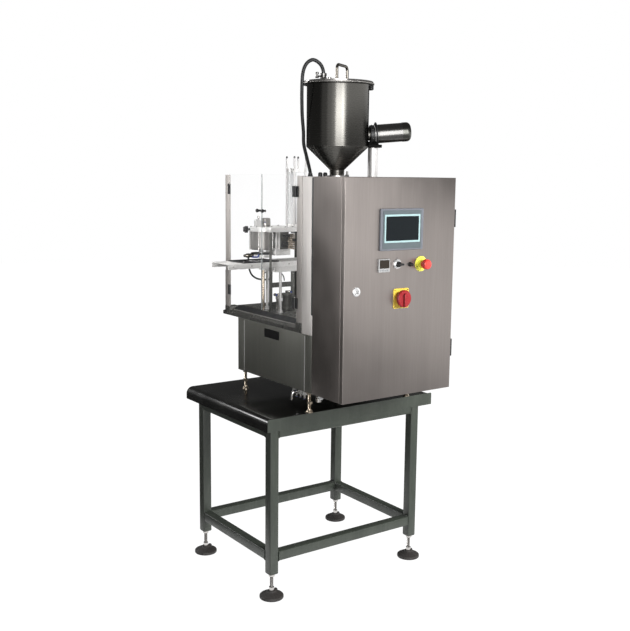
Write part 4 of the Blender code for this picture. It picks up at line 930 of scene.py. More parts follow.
def slide_columns():
    """Two rails with end bars on four turned columns, and a plain column for the stop."""
    low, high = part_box("slide_stand")
    rail, end = 0.018, 0.020
    shape = bmesh.new()
    top, under = high.z, high.z - 0.0217
    for y in (low.y, high.y - rail):
        add_block(shape, (low.x, y, under), (high.x, y + rail, top))
    for x in (low.x, high.x - end):
        add_block(shape, (x, low.y + rail, under), (x + end, high.y - rail, top))
    piece("slide_rails", shape, "aluminium", replaces=("slide_stand",), ease=0.0008)
    tall = under - low.z
    profile = [(0, 0), (0.0115, 0), (0.0115, 0.0035), (0.0095, 0.005), (0.0095, 0.012),
               (0.0062, 0.0135), (0.0062, tall), (0, tall)]
    near, far = low.y + rail / 2, high.y - rail / 2
    spots = ((at(0.162, 0, 0).x, near), (at(0.170, 0, 0).x, far), (high.x - 0.032, near),
             (high.x - 0.032, far))
    for n, (x, y) in enumerate(spots):
        turned(f"slide_column_{n}", profile, Vector((x, y, low.z)), "pale", sides=36)
    thick = [(0, 0), (0.0078, 0), (0.0078, tall), (0, tall)]
    turned("slide_stop_column", thick, Vector((at(0.148, 0, 0).x, far, low.z)), "warm_steel", sides=36)


def bay_brackets():
    for node, ease in (("station_bracket", 0.0006), ("cup_lifter", 0.0005), ("head_frame", 0.0009)):
        refined(node, "dark", ease)
    low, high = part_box("station_bracket")
    spots = [(Vector((x, low.y, low.z + z)), FORWARD) for x in (low.x + 0.007, high.x - 0.008)
             for z in (0.030, 0.090, 0.150)]
    screws("bracket_screws", spots, 0.007)
    for n, (x, z) in enumerate(((0.222, 0.310), (0.262, 0.300), (0.300, 0.318))):
        push_fitting(f"bracket_fitting_{n}", at(x, 0.8125, z), FORWARD)
    body = [(0, 0), (0.0125, 0), (0.0125, 0.004), (0.0105, 0.005), (0.0105, 0.045), (0.0125, 0.046),
            (0.0125, 0.056), (0.005, 0.057), (0.005, 0.070), (0, 0.070)]
    for n, (x, y) in enumerate(((0.215, 0.770), (0.300, 0.700), (0.318, 0.770))):
        turned(f"small_cylinder_{n}", body, at(x, y, TRAY_FLOOR), "polished", sides=32)


# ------------------------------------------------------------------ sealing head


def head_plates():
    refined("head_top_plate", "aluminium", 0.0009)
    refined("head_bottom_plate", "aluminium", 0.0009)
    refined("head_pillar", "dark", 0.0008)
    spots = [(at(x, y, 0.625), UP) for x, y in ((0.212, 0.655), (0.212, 0.770), (0.175, 0.655))]
    screws("head_screws", spots, 0.009)


def seal_cylinder():
    """The pressing cylinder under its cap flange, with a groove at each end of the barrel."""
    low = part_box("seal_cylinder")[0].z
    place = over(STATION, low)
    barrel, full = 0.079, 0.099
    r, bore = 0.047, 0.0101
    profile = [(bore, 0), (r - 0.003, 0), (r, 0.003), (r, 0.006), (r - 0.0012, 0.0065),
               (r - 0.0012, 0.0085), (r, 0.009), (r, barrel - 0.009), (r - 0.0012, barrel - 0.0085),
               (r - 0.0012, barrel - 0.0065), (r, barrel - 0.006), (r, barrel - CLEAR),
               (bore, barrel - CLEAR)]
    turned("cylinder_barrel", profile, place, "satin_grey", replaces=("seal_cylinder",), ease=0.0004,
           sides=96)
    cap = 0.053
    profile = [(0, barrel), (cap - 0.001, barrel), (cap, barrel + 0.001), (cap, full - 0.004),
               (cap - 0.003, full - 0.001), (cap - 0.008, full), (0, full)]
    turned("cylinder_cap", profile, place, "aluminium", ease=0.0004, sides=96)
    spots = [(place + Vector((0.045 * x, 0.045 * y, full)), UP) for x, y in around(6, 30)]
    screws("cap_screws", spots, 0.0065)
    tie = [(0, 0), (0.0026, 0), (0.0026, barrel + 0.001), (0, barrel + 0.001)]
    for n, (x, y) in enumerate(around(4, 45)):
        foot = place + Vector((0.0505 * x, 0.0505 * y, -0.002))
        turned(f"tie_rod_{n}", tie, foot, "polished", sides=20)


def cap_fittings():
    """What stands on the cap: a ported block, a round cushion cap and the rod that comes through."""
    plate("cushion_block", rounded_outline(0.036, 0.034, 0.010), at(0.128, 0.740, CAP_TOP), UP, 0,
          0.036, "satin_grey", ease=0.005)
    outline = [(-0.017, 0), (0.017, 0), (0.017, 0.010), (0.005, 0.029), (-0.009, 0.033), (-0.017, 0.025)]
    plate("port_block", outline, at(0.079, 0.722, CAP_TOP), FORWARD, -0.009, 0.009, "pale", ease=0.0014)
    push_fitting("cap_fitting", at(0.104, 0.708, CAP_TOP), UP)
    rod = [(0, 0), (0.0032, 0), (0.0032, 0.034), (0.0046, 0.035), (0.0046, 0.044), (0, 0.045)]
    turned("stroke_rod", rod, at(0.101, 0.756, CAP_TOP), "polished", sides=24)


def speed_knob():
    """A star grip on a short stem, which sets how fast the press comes down."""
    place = Vector((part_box("speed_knob")[1].x, at(0, STATION[1], 0).y, at(0, 0, 0.615).z))
    points, lobes = 60, 5
    reaches = [0.0128 + 0.0022 * cos(2 * pi * lobes * n / points) for n in range(points)]
    star = [(reach * x, reach * y) for reach, (x, y) in zip(reaches, around(points))]
    shape = bmesh.new()
    add_prism(shape, star, place, LEFT, 0.012, 0.026)
    add_turned(shape, [(0, 0), (0.0042, 0), (0.0042, 0.0125), (0, 0.0125)], place, LEFT, 24)
    add_turned(shape, [(0, 0.0255), (0.0065, 0.0255), (0.0055, 0.0298), (0, 0.0300)], place, LEFT, 32)
    piece("speed_grip", shape, "black", "speed_knob", ("speed_knob",), 0.0008)


def seal_die():
    """The heated die on its ram, with a knurled black ring and the heater's gland."""
    low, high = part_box("seal_die")
    place = over(STATION, low.z)
    r, rod = 0.0445, 0.0095
    tall = high.z - low.z
    profile = [(0, 0), (r - 0.004, 0), (r - 0.003, 0.0015), (r - 0.003, 0.006), (r, 0.007), (r, 0.0125),
               (r - 0.002, 0.014), (rod, 0.014), (rod, tall), (0, tall)]
    turned("die_and_ram", profile, place, "aluminium", "seal_ram", ("seal_die",), sides=96)
    teeth, root, tip = 72, r + 0.0002, r + 0.0012
    knurl = [((tip if n % 2 else root) * x, (tip if n % 2 else root) * y)
             for n, (x, y) in enumerate(around(2 * teeth))]
    plate("die_ring", knurl, place, UP, 0.0142, 0.0200, "black", "seal_ram", ease=0)
    gland = [(0, 0), (0.0095, 0), (0.0095, 0.010), (0.0078, 0.011), (0.0078, 0.016), (0.0095, 0.017),
             (0.0095, 0.030), (0.007, 0.034), (0.005, 0.045), (0, 0.045)]
    turned("heater_gland", gland, at(0.0575, STATION[1], 0.5017), "lid_steel", "seal_ram", out=LEFT,
           sides=32)


def valve_and_leads():
    """The air valve behind the head, the heater's coiled lead, and the thin air tubes."""
    block("air_valve", (0.181, 0.703, 0.526), (0.225, 0.763, 0.6045), "dark", 0.0015)
    shape = bmesh.new()
    for x in (0.196, 0.212):
        add_turned(shape, [(0, 0), (0.0055, 0), (0.0055, 0.020), (0.0045, 0.022), (0, 0.022)],
                   at(x, 0.7028, 0.585), FORWARD, 24)
    add_block(shape, at(0.184, 0.6965, 0.535), at(0.222, 0.7027, 0.560))
    piece("valve_spools", shape, "black", ease=0.0006)
    values = {"Turns": 7.0, "Coil Radius": 0.0125, "Height": 0.064, "Wire Radius": 0.0037,
              "Place": at(0.229, 0.688, 0.527)}
    empty = bpy.data.meshes.new("coil_start")
    grown("coiled_lead", empty, COIL, values, "lead")
    blue = [at(0.068, 0.7, 0.506), at(0.060, 0.694, 0.4985), at(0.052, 0.700, 0.4962),
            at(0.044, 0.714, 0.4958)]
    tube("die_air_tube", smooth_route(blue, 6), 0.003, "blue", "seal_ram")
    under = [at(0.150, 0.800, 0.400), at(0.170, 0.803, 0.418), at(0.200, 0.806, 0.426),
             at(0.235, 0.806, 0.418), at(0.262, 0.804, 0.396), at(0.268, 0.802, 0.372)]
    tube("bay_air_tube", smooth_route(under, 6), 0.0026, "black")
    bars = bmesh.new()
    add_block(bars, at(0.214, 0.664, 0.598), at(0.253, 0.672, 0.606))
    add_block(bars, at(0.223, 0.664, 0.560), at(0.247, 0.672, 0.572))
    piece("lead_clips", bars, "black", ease=0.0008)


# ------------------------------------------------------------------ lid magazine


def magazine():
    """Four rods round a frosted sleeve, on a plate with a mouth for the lids."""
    low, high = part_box("magazine_base")
    base_low, base_high, mouth = 0.607, 0.619, 0.033
    middle = at(*MAGAZINE, 0)
    shape = bmesh.new()
    outer = [(low.x - middle.x, low.y - middle.y), (high.x - middle.x, low.y - middle.y),
             (high.x - middle.x, high.y - middle.y), (low.x - middle.x, high.y - middle.y)]
    sides = 64
    rings = []
    for level in (at(0, 0, base_low).z, at(0, 0, base_high).z):
        ring = [shape.verts.new((middle.x + mouth * x, middle.y + mouth * y, level))
                for x, y in around(sides)]
        corners = [shape.verts.new((middle.x + x, middle.y + y, level)) for x, y in outer]
        rings.append((ring, corners))
        quarter = sides // 4
        for k in range(4):
            first = (quarter * k + 5 * quarter // 2) % sides
            span = [ring[(first + n) % sides] for n in range(quarter + 1)]
            corner, beside = corners[k], corners[(k + 1) % 4]
            shape.faces.new([corner, beside] + list(reversed(span)))
    (lower_ring, lower), (upper_ring, upper) = rings
    add_walls(shape, lower_ring, upper_ring)
    add_walls(shape, lower, upper)
    piece("magazine_plate", shape, "aluminium", replaces=("magazine_base",), ease=0.0008)
    top = high.z - at(0, 0, base_high).z
    rod = [(0, 0), (0.004, 0), (0.004, top - 0.012), (0.0034, top - 0.011), (0.0034, top - 0.009),
           (0, top - 0.009)]
    tip = [(0, top - 0.0088), (0.0040, top - 0.0088), (0.0040, top - 0.003), (0.0022, top), (0, top)]
    reach = 0.0425
    for n, (x, y) in enumerate(around(4, 45)):
        place = at(MAGAZINE[0] + reach * x, MAGAZINE[1] + reach * y, base_high)
        turned(f"magazine_rod_{n}", rod, place, "pale", sides=24)
        turned(f"magazine_tip_{n}", tip, place, "black", sides=24)
    low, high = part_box("magazine_sleeve")
    tall = high.z - low.z
    wall = [(0.0335, 0), (0.0360, 0), (0.0360, tall), (0.0335, tall)]
    turned("magazine_tube", wall, at(*MAGAZINE, 0.6193), "sleeve", replaces=("magazine_sleeve",),
           ease=0.0008, sides=96)
    ring = [(0.0363, 0), (0.0378, 0), (0.0378, 0.014), (0.0363, 0.014)]
    for n, z in enumerate((0.6196, 0.862)):
        turned(f"magazine_band_{n}", ring, at(*MAGAZINE, z), "aluminium", sides=72)


# ------------------------------------------------------------------ cabinet


def cabinet():
    refined("cabinet_shell", "brushed", 0.0022)
    refined("cabinet_door", "brushed", 0.0026, "cabinet_door", 4)
    wide = 0.012
    bottom, top = wide, ROOF - wide
    left, right = 0.006, DOOR_WIDTH - 0.006
    shape = bmesh.new()
    bands = ((left, left + wide, bottom, top), (right - wide, right, bottom, top),
             (left + wide, right - wide, bottom, bottom + wide),
             (left + wide, right - wide, top - wide, top))
    for start, end, lower, upper in bands:
        add_block(shape, at(start, 0.0142, lower), at(end, 0.0196, upper))
    piece("door_gasket", shape, "rubber", "cabinet_door", ease=0.0012)
    knob = [(0, 0), (0.0085, 0), (0.0085, 0.010), (0.0070, 0.0135), (0.0045, 0.0155), (0, 0.0158)]
    for n, x in enumerate((0.022, 0.045)):
        turned(f"roof_grommet_{n}", knob, at(x, 0.188, ROOF + CLEAR), "black", sides=40)


def door_hinges():
    """Black hinges on the cabinet's right: the fixed half and the door's leaf."""
    fixed, moving = [], []
    leaf = DOOR_WIDTH + 0.0080
    for level, z in DOOR_LEVELS:
        refined(f"door_hinge_{level}", "black", 0.0006)
        block(f"door_leaf_{level}", (DOOR_WIDTH + CLEAR, 0.0012, z - 0.035),
              (leaf, 0.0084, z + 0.035), "black", 0.0006, "cabinet_door")
        for dz in (-0.022, 0.022):
            fixed.append((at(DOOR_WIDTH + 0.0035, 0.036, z + dz), RIGHT))
            moving.append((at(leaf, 0.0048, z + dz), RIGHT))
    screws("cabinet_hinge_screws", fixed, 0.006, "black")
    screws("door_hinge_screws", moving, 0.005, "black", "cabinet_door")


def cabinet_inside():
    """What the open door shows: a mounting plate with its modules, and the filling valve."""
    back = 0.186
    face = back - CLEAR
    block("mounting_plate", (0.090, back, 0.060), (0.506, 0.188, 0.694), "aluminium", 0.0008)
    block("controller", (0.140, 0.126, 0.480), (0.300, face, 0.600), "relay", 0.002)
    block("power_supply", (0.340, 0.136, 0.470), (0.460, face, 0.600), "aluminium", 0.0015)
    shape = bmesh.new()
    for n in range(10):
        add_block(shape, at(0.140 + 0.022 * n, 0.140, 0.330), at(0.156 + 0.022 * n, face, 0.400))
    piece("relays", shape, "relay", ease=0.001)
    shape = bmesh.new()
    for x in (0.108, 0.478):
        add_block(shape, at(x, 0.150, 0.100), at(x + 0.020, face, 0.650))
    for z in (0.270, 0.430, 0.640):
        add_block(shape, at(0.130, 0.150, z), at(0.476, face, z + 0.020))
    piece("cable_ducts", shape, "relay", ease=0.001)
    valve = [(0, 0), (0.022, 0), (0.022, 0.020), (0.028, 0.022), (0.028, 0.060), (0.022, 0.064),
             (0.022, 0.090), (0.027, 0.092), (0.027, 0.110), (0.0235, 0.112), (0.0235, 0.1395),
             (0, 0.1395)]
    turned("filling_valve", valve, at(*HOPPER, 0.702), "polished", sides=56)


# ------------------------------------------------------------------ what is on the door


def on_door(name, profile, spot, depth, finish, body="cabinet_door", replaces=(), ease=0.0004):
    return turned(name, profile, at(spot[0], -depth, spot[1]), finish, body, replaces, FORWARD, ease)


def door_plate(name, size, corner, spot, low, high, finish, replaces=(), ease=0.0006):
    outline = rounded_outline(*size, corner)
    place = at(spot[0], 0, spot[1])
    return plate(name, outline, place, FORWARD, low, high, finish, "cabinet_door", replaces, ease)


def touch_panel():
    """A blue-grey housing, its grey face, a pale blue frame and the dark screen."""
    x, z = 0.266, 0.649
    door_plate("panel_housing", (0.214, 0.158), 0.006, (x, z), CLEAR, 0.010, "housing", ("touch_panel",),
               0.0022)
    door_plate("panel_front", (0.190, 0.144), 0.003, (x, z), 0.0101, 0.0112, "panel_face")
    door_plate("panel_surround", (0.176, 0.106), 0.002, (x, z + 0.004), 0.0113, 0.0121, "panel_frame",
               ease=0.0003)
    door_plate("panel_screen", (0.162, 0.092), 0.0015, (x, z + 0.004), 0.0122, 0.0126, "screen",
               ease=0.0002)


def counter():
    x, z = 0.1825, 0.5145
    door_plate("counter_housing", (0.055, 0.050), 0.003, (x, z), CLEAR, 0.009, "pale_plastic",
               ("counter",), 0.0014)
    door_plate("counter_window", (0.046, 0.032), 0.001, (x + 0.001, z + 0.0055), 0.0091, 0.0098,
               "window", ease=0.0003)
    shape, key = bmesh.new(), rounded_outline(0.0075, 0.0055, 0.001, 3)
    for n in range(4):
        add_prism(shape, key, at(x - 0.0165 + 0.011 * n, 0, z - 0.0178), FORWARD, 0.0091, 0.0102)
    piece("counter_keys", shape, "relay", "cabinet_door", ease=0.0003)


def selector():
    spot = (0.252, 0.517)
    bezel = [(0.0114, 0), (0.0190, 0), (0.0190, 0.0030), (0.0172, 0.0060), (0.0132, 0.0086),
             (0.0114, 0.0086)]
    on_door("selector_bezel", bezel, spot, CLEAR, "bright")
    knob = [(0, 0.0003), (0.0109, 0.0003), (0.0109, 0.0145), (0.0098, 0.0158), (0, 0.0160)]
    made = bmesh.new()
    add_turned(made, knob, at(spot[0], 0, spot[1]), FORWARD, 48)
    grip = rounded_outline(0.0230, 0.0080, 0.0034, 5)
    add_prism(made, grip, at(spot[0] + 0.0025, 0, spot[1]), FORWARD, 0.0155, 0.0280)
    piece("selector_grip", made, "black", "selector_knob", ("selector_knob",), 0.0006)
    door_plate("selector_mark", (0.0012, 0.010), 0.0005, (spot[0], spot[1] + 0.0225), CLEAR, 0.0009,
               "housing", ease=0.0001)


def push_button():
    spot = (0.318, 0.513)
    bezel = [(0.0072, 0), (0.0092, 0), (0.0092, 0.0018), (0.0084, 0.0034), (0.0072, 0.0036)]
    on_door("button_bezel", bezel, spot, CLEAR, "black")
    cap = [(0, 0), (0.0068, 0), (0.0068, 0.0086), (0.0059, 0.0098), (0.003, 0.0100), (0, 0.0098)]
    on_door("button_cap", cap, spot, 0.004, "black", "push_button", ("push_button",))


def stop_button():
    """A red mushroom over a yellow disc."""
    spot = (0.372, 0.513)
    disc = [(0.0118, 0), (0.0295, 0), (0.0300, 0.0010), (0.0295, 0.0028), (0.0165, 0.0034),
            (0.0160, 0.0160), (0.0118, 0.0160)]
    on_door("stop_disc", disc, spot, CLEAR, "yellow", replaces=("stop_plate",))
    reach = 0.0380
    head = [(0, 0), (0.0110, 0), (0.0110, 0.0135), (0.0172, 0.0160), (0.0195, 0.0195),
            (0.0195, reach - 0.0075)]
    head += arc((0.0125, reach - 0.0075), 0.0070, 12, 84, 7) + [(0.006, reach - 0.0002), (0, reach)]
    on_door("stop_mushroom", head, spot, 0.008, "red", "stop_button", ("stop_button",))
    shape, mark = bmesh.new(), rounded_outline(0.0065, 0.0018, 0.0008, 3)
    for x, z in around(3, 90):
        add_prism(shape, mark, at(spot[0] + 0.0225 * x, 0, spot[1] + 0.0225 * z), FORWARD, 0.0031, 0.0036)
    piece("stop_marks", shape, "black", "cabinet_door")


def main_switch():
    """A square amber plate with screws, and a wide red disc with its raised pointer."""
    spot = (0.2745, 0.384)
    door_plate("switch_base", (0.077, 0.077), 0.007, spot, CLEAR, 0.0030, "switch_yellow",
               ("switch_plate",), 0.0009)
    reach = 0.032
    spots = [(at(spot[0] + x, -0.0030, spot[1] + z), FORWARD) for x in (-reach, reach)
             for z in (-reach, reach)]
    screws("switch_screws", spots, 0.0055, "black", "cabinet_door")
    handle = bmesh.new()
    centre = at(spot[0], 0, spot[1])
    add_turned(handle, [(0, 0.0033), (0.0240, 0.0033), (0.0240, 0.0125), (0.0325, 0.0140),
                        (0.0337, 0.0158), (0.0337, 0.0228), (0.0305, 0.0262), (0.0210, 0.0272),
                        (0, 0.0272)], centre, FORWARD, 72)
    grip = arc((0, 0.014), 0.0080, 0, 180, 8) + [(-0.0062, -0.0310), (0.0062, -0.0310)]
    add_prism(handle, grip, centre, FORWARD, 0.0262, 0.0338)
    piece("switch_grip", handle, "switch_red", "switch_handle", ("switch_handle",), 0.0012)


def cam_lock():
    spot = (0.057, 0.422)
    body = bmesh.new()
    centre = at(spot[0], 0, spot[1])
    add_turned(body, [(0, CLEAR), (0.0180, CLEAR), (0.0180, 0.0026), (0.0160, 0.0048), (0.0112, 0.0060),
                      (0.0104, 0.0078), (0, 0.0080)], centre, FORWARD, 64)
    piece("lock_body", body, "bright", "cam_lock", ("cam_lock",), 0.0004)
    slot = bmesh.new()
    add_prism(slot, rounded_outline(0.0022, 0.0085, 0.0008, 3), centre, FORWARD, 0.0080, 0.0084)
    add_turned(slot, [(0.0050, 0.0080), (0.0068, 0.0080), (0.0068, 0.0084), (0.0050, 0.0084)], centre,
               FORWARD, 32)
    piece("lock_keyway", slot, "black", "cam_lock")


# ------------------------------------------------------------------ hopper


def hopper_place(height=0.0):
    return at(*HOPPER, ROOF + height)


def hopper():
    """Spun barrel, cone and neck with their weld lines, and a rolled flange on top."""
    r, n, wall = 0.1155, 0.027, 0.002
    cone, barrel, rim = 0.026, 0.110, 0.334
    top = rim + 0.008
    outside = [(n - wall, CLEAR), (n, CLEAR), (n, 0.018), (n + 0.0006, 0.0190), (n + 0.0006, 0.0215),
               (n, 0.0225), (n, cone - 0.003), (n + 0.0012, cone)]
    outside += [(r - 0.0030, barrel - 0.0030), (r - 0.0006, barrel), (r + 0.0005, barrel + 0.0012),
                (r + 0.0005, barrel + 0.0026), (r, barrel + 0.0038), (r, rim - 0.003),
                (r + 0.0012, rim - 0.0008), (r + 0.004, rim)]
    outside += [(RIM_RADIUS - 0.002, rim)] + arc((RIM_RADIUS - 0.0040, rim + 0.0040), 0.0040, -70, 70, 8)
    outside += [(RIM_RADIUS - 0.003, top), (r - wall, top), (r - wall, barrel), (n - wall, cone)]
    turned("hopper_shell", outside, hopper_place(), "hopper", replaces=("hopper",), ease=0, sides=144)
    # A paler band of steel round the outside of the rolled rim: a painted highlight.
    band = [(RIM_RADIUS - 0.0006, 0.0020), (RIM_RADIUS + 0.0008, 0.0022), (RIM_RADIUS + 0.0008, 0.0060),
            (RIM_RADIUS - 0.0006, 0.0062)]
    turned("rim_band", band, hopper_place(rim), "satin_grey", ease=0, sides=144)
    bearing = [(0, 0.0), (0.022, 0.0), (0.022, 0.0030), (0.0185, 0.0045), (0.0185, 0.0068), (0, 0.0068)]
    turned("shaft_bearing", bearing, motor_point(r - 0.001), "hopper", out=motor_direction(), sides=48)
    lug_dir = Vector((cos(radians(-18)), sin(radians(-18)), 0))
    lug = hopper_place(rim) + lug_dir * (RIM_RADIUS - 0.006)
    shape = bmesh.new()
    add_block(shape, lug + Vector((-0.005, -0.010, -0.014)), lug + Vector((0.010, 0.010, 0.0065)))
    piece("rim_catch", shape, "black", ease=0.004)
    bolt = bmesh.new()
    add_nut(bolt, at(0.087, 0.106, ROOF + CLEAR), UP, 0.013, 0.008)
    add_turned(bolt, [(0, 0.008), (0.004, 0.008), (0.004, 0.020), (0, 0.0205)],
               at(0.087, 0.106, ROOF + CLEAR), UP, 24)
    piece("neck_bolt", bolt, "motor", sharp=25)
    flange = [(n + 0.001, 0), (n + 0.014, 0), (n + 0.014, 0.004), (n + 0.012, 0.005), (n + 0.001, 0.005)]
    turned("neck_flange", flange, hopper_place(CLEAR), "polished", sides=72)


def lid_half(name, side, body, node):
    """Half of the round lid, with its upper edge eased. side is +1 for the flap."""
    radius = RIM_RADIUS - 0.0030
    z = RIM + CLEAR
    turn = Matrix.Rotation(LID_TURN, 3, "Z")
    steps, margin, straight = 48, 0.012, 0.0012
    angles = [margin + (pi - 2 * margin) * n / steps for n in range(steps + 1)]
    sections = []
    for inset, rise in ((0.0, 0.0), (0.0, 0.0028), (0.0012, 0.0040)):
        reach = radius - inset
        sections.append([turn @ Vector((reach * cos(a), -side * max(reach * sin(a), straight), 0))
                         + at(*HOPPER, z + rise) for a in angles])
    shape = bmesh.new()
    add_loft(shape, sections)
    return piece(name, shape, "polished", body, (node,), sharp=30)


def lid():
    lid_half("lid_rear", -1, "machine", "hopper_lid_rear")
    lid_half("lid_front", 1, "lid_flap", "hopper_lid_flap")
    along = Vector((cos(LID_TURN), sin(LID_TURN), 0))
    out = Vector((sin(LID_TURN), -cos(LID_TURN), 0))
    top = at(*HOPPER, RIM + CLEAR + 0.004)
    hinge_line = at(*HOPPER, RIM + 0.007)
    knuckle = [(0, -0.0115), (0.0026, -0.0115), (0.0026, 0.0115), (0, 0.0115)]
    leaf = rounded_outline(0.0225, 0.024, 0.002, 4)
    for n, reach in enumerate((-0.062, -0.038, 0.040, 0.064)):
        body = "machine" if n % 2 else "lid_flap"
        place = hinge_line + along * reach
        turned(f"lid_knuckle_{n}", knuckle, place, "polished", body, out=along, sides=24)
        middle = place + (out if body == "lid_flap" else -out) * 0.012 + DOWN * 0.0022
        shape = bmesh.new()
        add_loft(shape, [[middle + along * x - out * y + UP * rise for x, y in leaf]
                         for rise in (-0.0004, 0.0008)])
        piece(f"lid_leaf_{n}", shape, "polished", body)
    lid_handle(top, along, out)
    lid_fittings(top, along, out)


def lid_handle(top, along, out):
    """A bent round bar with a washer under each end."""
    low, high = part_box("lid_handle")
    foot = top + UP * (low.z - top.z) + out * 0.028 - along * 0.031
    half, bend = 0.050, 0.016
    rise = high.z - low.z - 0.005
    corner = arc((half - bend, rise - bend), bend, 0, 90, 8)
    first = [foot - along * reach + UP * height for reach, height in [(half, 0)] + corner]
    route = first + [point - 2 * along * (point - foot).dot(along) for point in reversed(first)]
    tube("handle_bar", route, 0.0052, "lid_steel", "lid_flap", ("lid_handle",), 20)
    washer = [(0.0056, 0), (0.0095, 0), (0.0095, 0.0015), (0.0060, 0.0050), (0.0056, 0.0050)]
    for n, sign in enumerate((-1, 1)):
        turned(f"handle_washer_{n}", washer, foot + along * half * sign, "polished", "lid_flap", sides=32)


def lid_fittings(top, along, out):
    """On the rear half: the hose elbow, a small cock with its lever, and a blanked port."""
    elbow = around_hopper(-157.3, -0.029, 0)
    base = Vector((elbow.x, elbow.y, top.z + CLEAR))
    shape = bmesh.new()
    add_nut(shape, base, UP, 0.022, 0.006)
    add_turned(shape, [(0, 0.006), (0.0098, 0.006), (0.0098, 0.010), (0.0115, 0.011), (0.0115, 0.0205),
                       (0.0085, 0.0215), (0, 0.0215)], base, UP, 40)
    piece("hose_elbow", shape, "motor", sharp=25)
    cock = base - along * 0.048 - out * 0.004
    shape = bmesh.new()
    add_nut(shape, cock, UP, 0.012, 0.005)
    add_turned(shape, [(0, 0.005), (0.0038, 0.005), (0.0038, 0.014), (0, 0.014)], cock, UP, 24)
    add_turned(shape, [(0, 0.0135), (0.0062, 0.0135), (0.0062, 0.0185), (0.004, 0.0205), (0, 0.0205)],
               cock, UP, 32)
    piece("lid_cock", shape, "motor", sharp=25)
    blank = base + along * 0.050 + out * 0.002
    shape = bmesh.new()
    add_turned(shape, [(0, 0), (0.013, 0), (0.013, 0.003), (0.009, 0.004), (0.009, 0.009), (0.006, 0.011),
                       (0, 0.0115)], blank, UP, 40)
    piece("blank_port", shape, "polished", sharp=30)
    bar = [cock + UP * 0.007 + along * 0.004, cock + UP * 0.008 + along * 0.022,
           base + UP * 0.009 - along * 0.010]
    tube("lid_pipe", smooth_route(bar, 6), 0.0028, "motor")


# ------------------------------------------------------------------ agitator


def motor_point(distance):
    """A point on the agitator's axis, at this distance from the hopper's own axis."""
    rise = (distance - COLLAR_START) * sin(MOTOR_TILT) / cos(MOTOR_TILT)
    level = Vector((cos(MOTOR_TURN), sin(MOTOR_TURN), 0)) * distance
    return at(*HOPPER, ROOF + MOTOR_HEIGHT + rise) + level


def motor_direction():
    level = Vector((cos(MOTOR_TURN), sin(MOTOR_TURN), 0))
    return level * cos(MOTOR_TILT) + UP * sin(MOTOR_TILT)


def motor():
    """A black adaptor with a pale band and a wide fin, then the motor's can and its end cap."""
    out = motor_direction()
    place = motor_point(COLLAR_START)
    ring = [(0.0078, 0), (0.033, 0), (0.034, 0.001), (0.034, 0.0155), (0.0262, 0.0160), (0.0262, 0.0205),
            (0.0430, 0.0210), (0.0435, 0.0216), (0.0435, 0.0244), (0.0430, 0.0250), (0.0205, 0.0250),
            (0.0205, 0.0172), (0.0078, 0.0172)]
    turned("motor_adaptor", ring, place, "black", replaces=("motor_collar",), out=out, ease=0, sides=72)
    band = [(0.0264, 0.0162), (0.0318, 0.0162), (0.0318, 0.0203), (0.0264, 0.0203)]
    turned("adaptor_band", band, place, "pale", out=out, sides=72)
    start = motor_point(COLLAR_START + 0.0254 * cos(MOTOR_TILT))
    r, length, cap = 0.0345, 0.128, 0.032
    can = [(0, 0), (r, 0), (r, 0.004), (r - 0.0009, 0.0045), (r - 0.0009, 0.006), (r, 0.0065),
           (r, length - cap - 0.0004), (0, length - cap - 0.0004)]
    turned("motor_can", can, start, "motor", replaces=("agitator_motor",), out=out, ease=0, sides=96)
    end = [(0, length - cap), (r + 0.0010, length - cap), (r + 0.0010, length - 0.0165)]
    end += arc((r - 0.0150, length - 0.0165), 0.0160, 4, 80, 10)
    end += [(0.013, length - 0.0004), (0.012, length - 0.0014), (0, length - 0.0014)]
    turned("motor_cap", end, start, "dark", out=out, ease=0, sides=96)
    side = out.cross(UP).normalized()
    rise = side.cross(out)
    spots = [(start + out * (length - 0.0022) + (side * x + rise * y) * 0.0225, out)
             for x, y in around(4, 45)]
    screws("motor_screws", spots, 0.005)
    ways = [side * x + rise * y for x, y in around(6, 30)]
    screws("adaptor_screws", [(place + out * 0.008 + way * 0.0339, way) for way in ways], 0.005, "motor")


def motor_post():
    low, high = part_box("motor_post")
    axis = motor_point(COLLAR_START + 0.0125)
    place = Vector((axis.x, axis.y, low.z))
    tall = high.z - low.z - 0.004
    post = [(0, 0), (0.0185, 0), (0.0185, tall - 0.0005), (0, tall - 0.0005)]
    turned("post_tube", post, place, "pale", replaces=("motor_post",), ease=0.0006, sides=72)
    across = Vector((sin(MOTOR_TURN), -cos(MOTOR_TURN), 0))
    shape = bmesh.new()
    bottom = place + UP * tall
    add_prism(shape, [(-0.021, 0), (0.030, 0), (0.030, 0.0110), (-0.021, 0.0110)], bottom, across,
              -0.024, 0.024)
    add_prism(shape, [(-0.0180, 0.0105), (0.0200, 0.0105), (0.0160, 0.0225), (-0.0180, 0.0225)], bottom,
              across, -0.017, 0.017)
    piece("post_saddle", shape, "ink", ease=0.0012)


# ------------------------------------------------------------------ cords


def around_hopper(angle, beyond_rim, above_rim):
    a = radians(angle)
    reach = RIM_RADIUS + beyond_rim
    return at(HOPPER[0] + reach * cos(a), HOPPER[1] + reach * sin(a), RIM + above_rim)


def above_wall(x, y, z):
    return at(x, WALL_FRONT + y, ROOF + z)


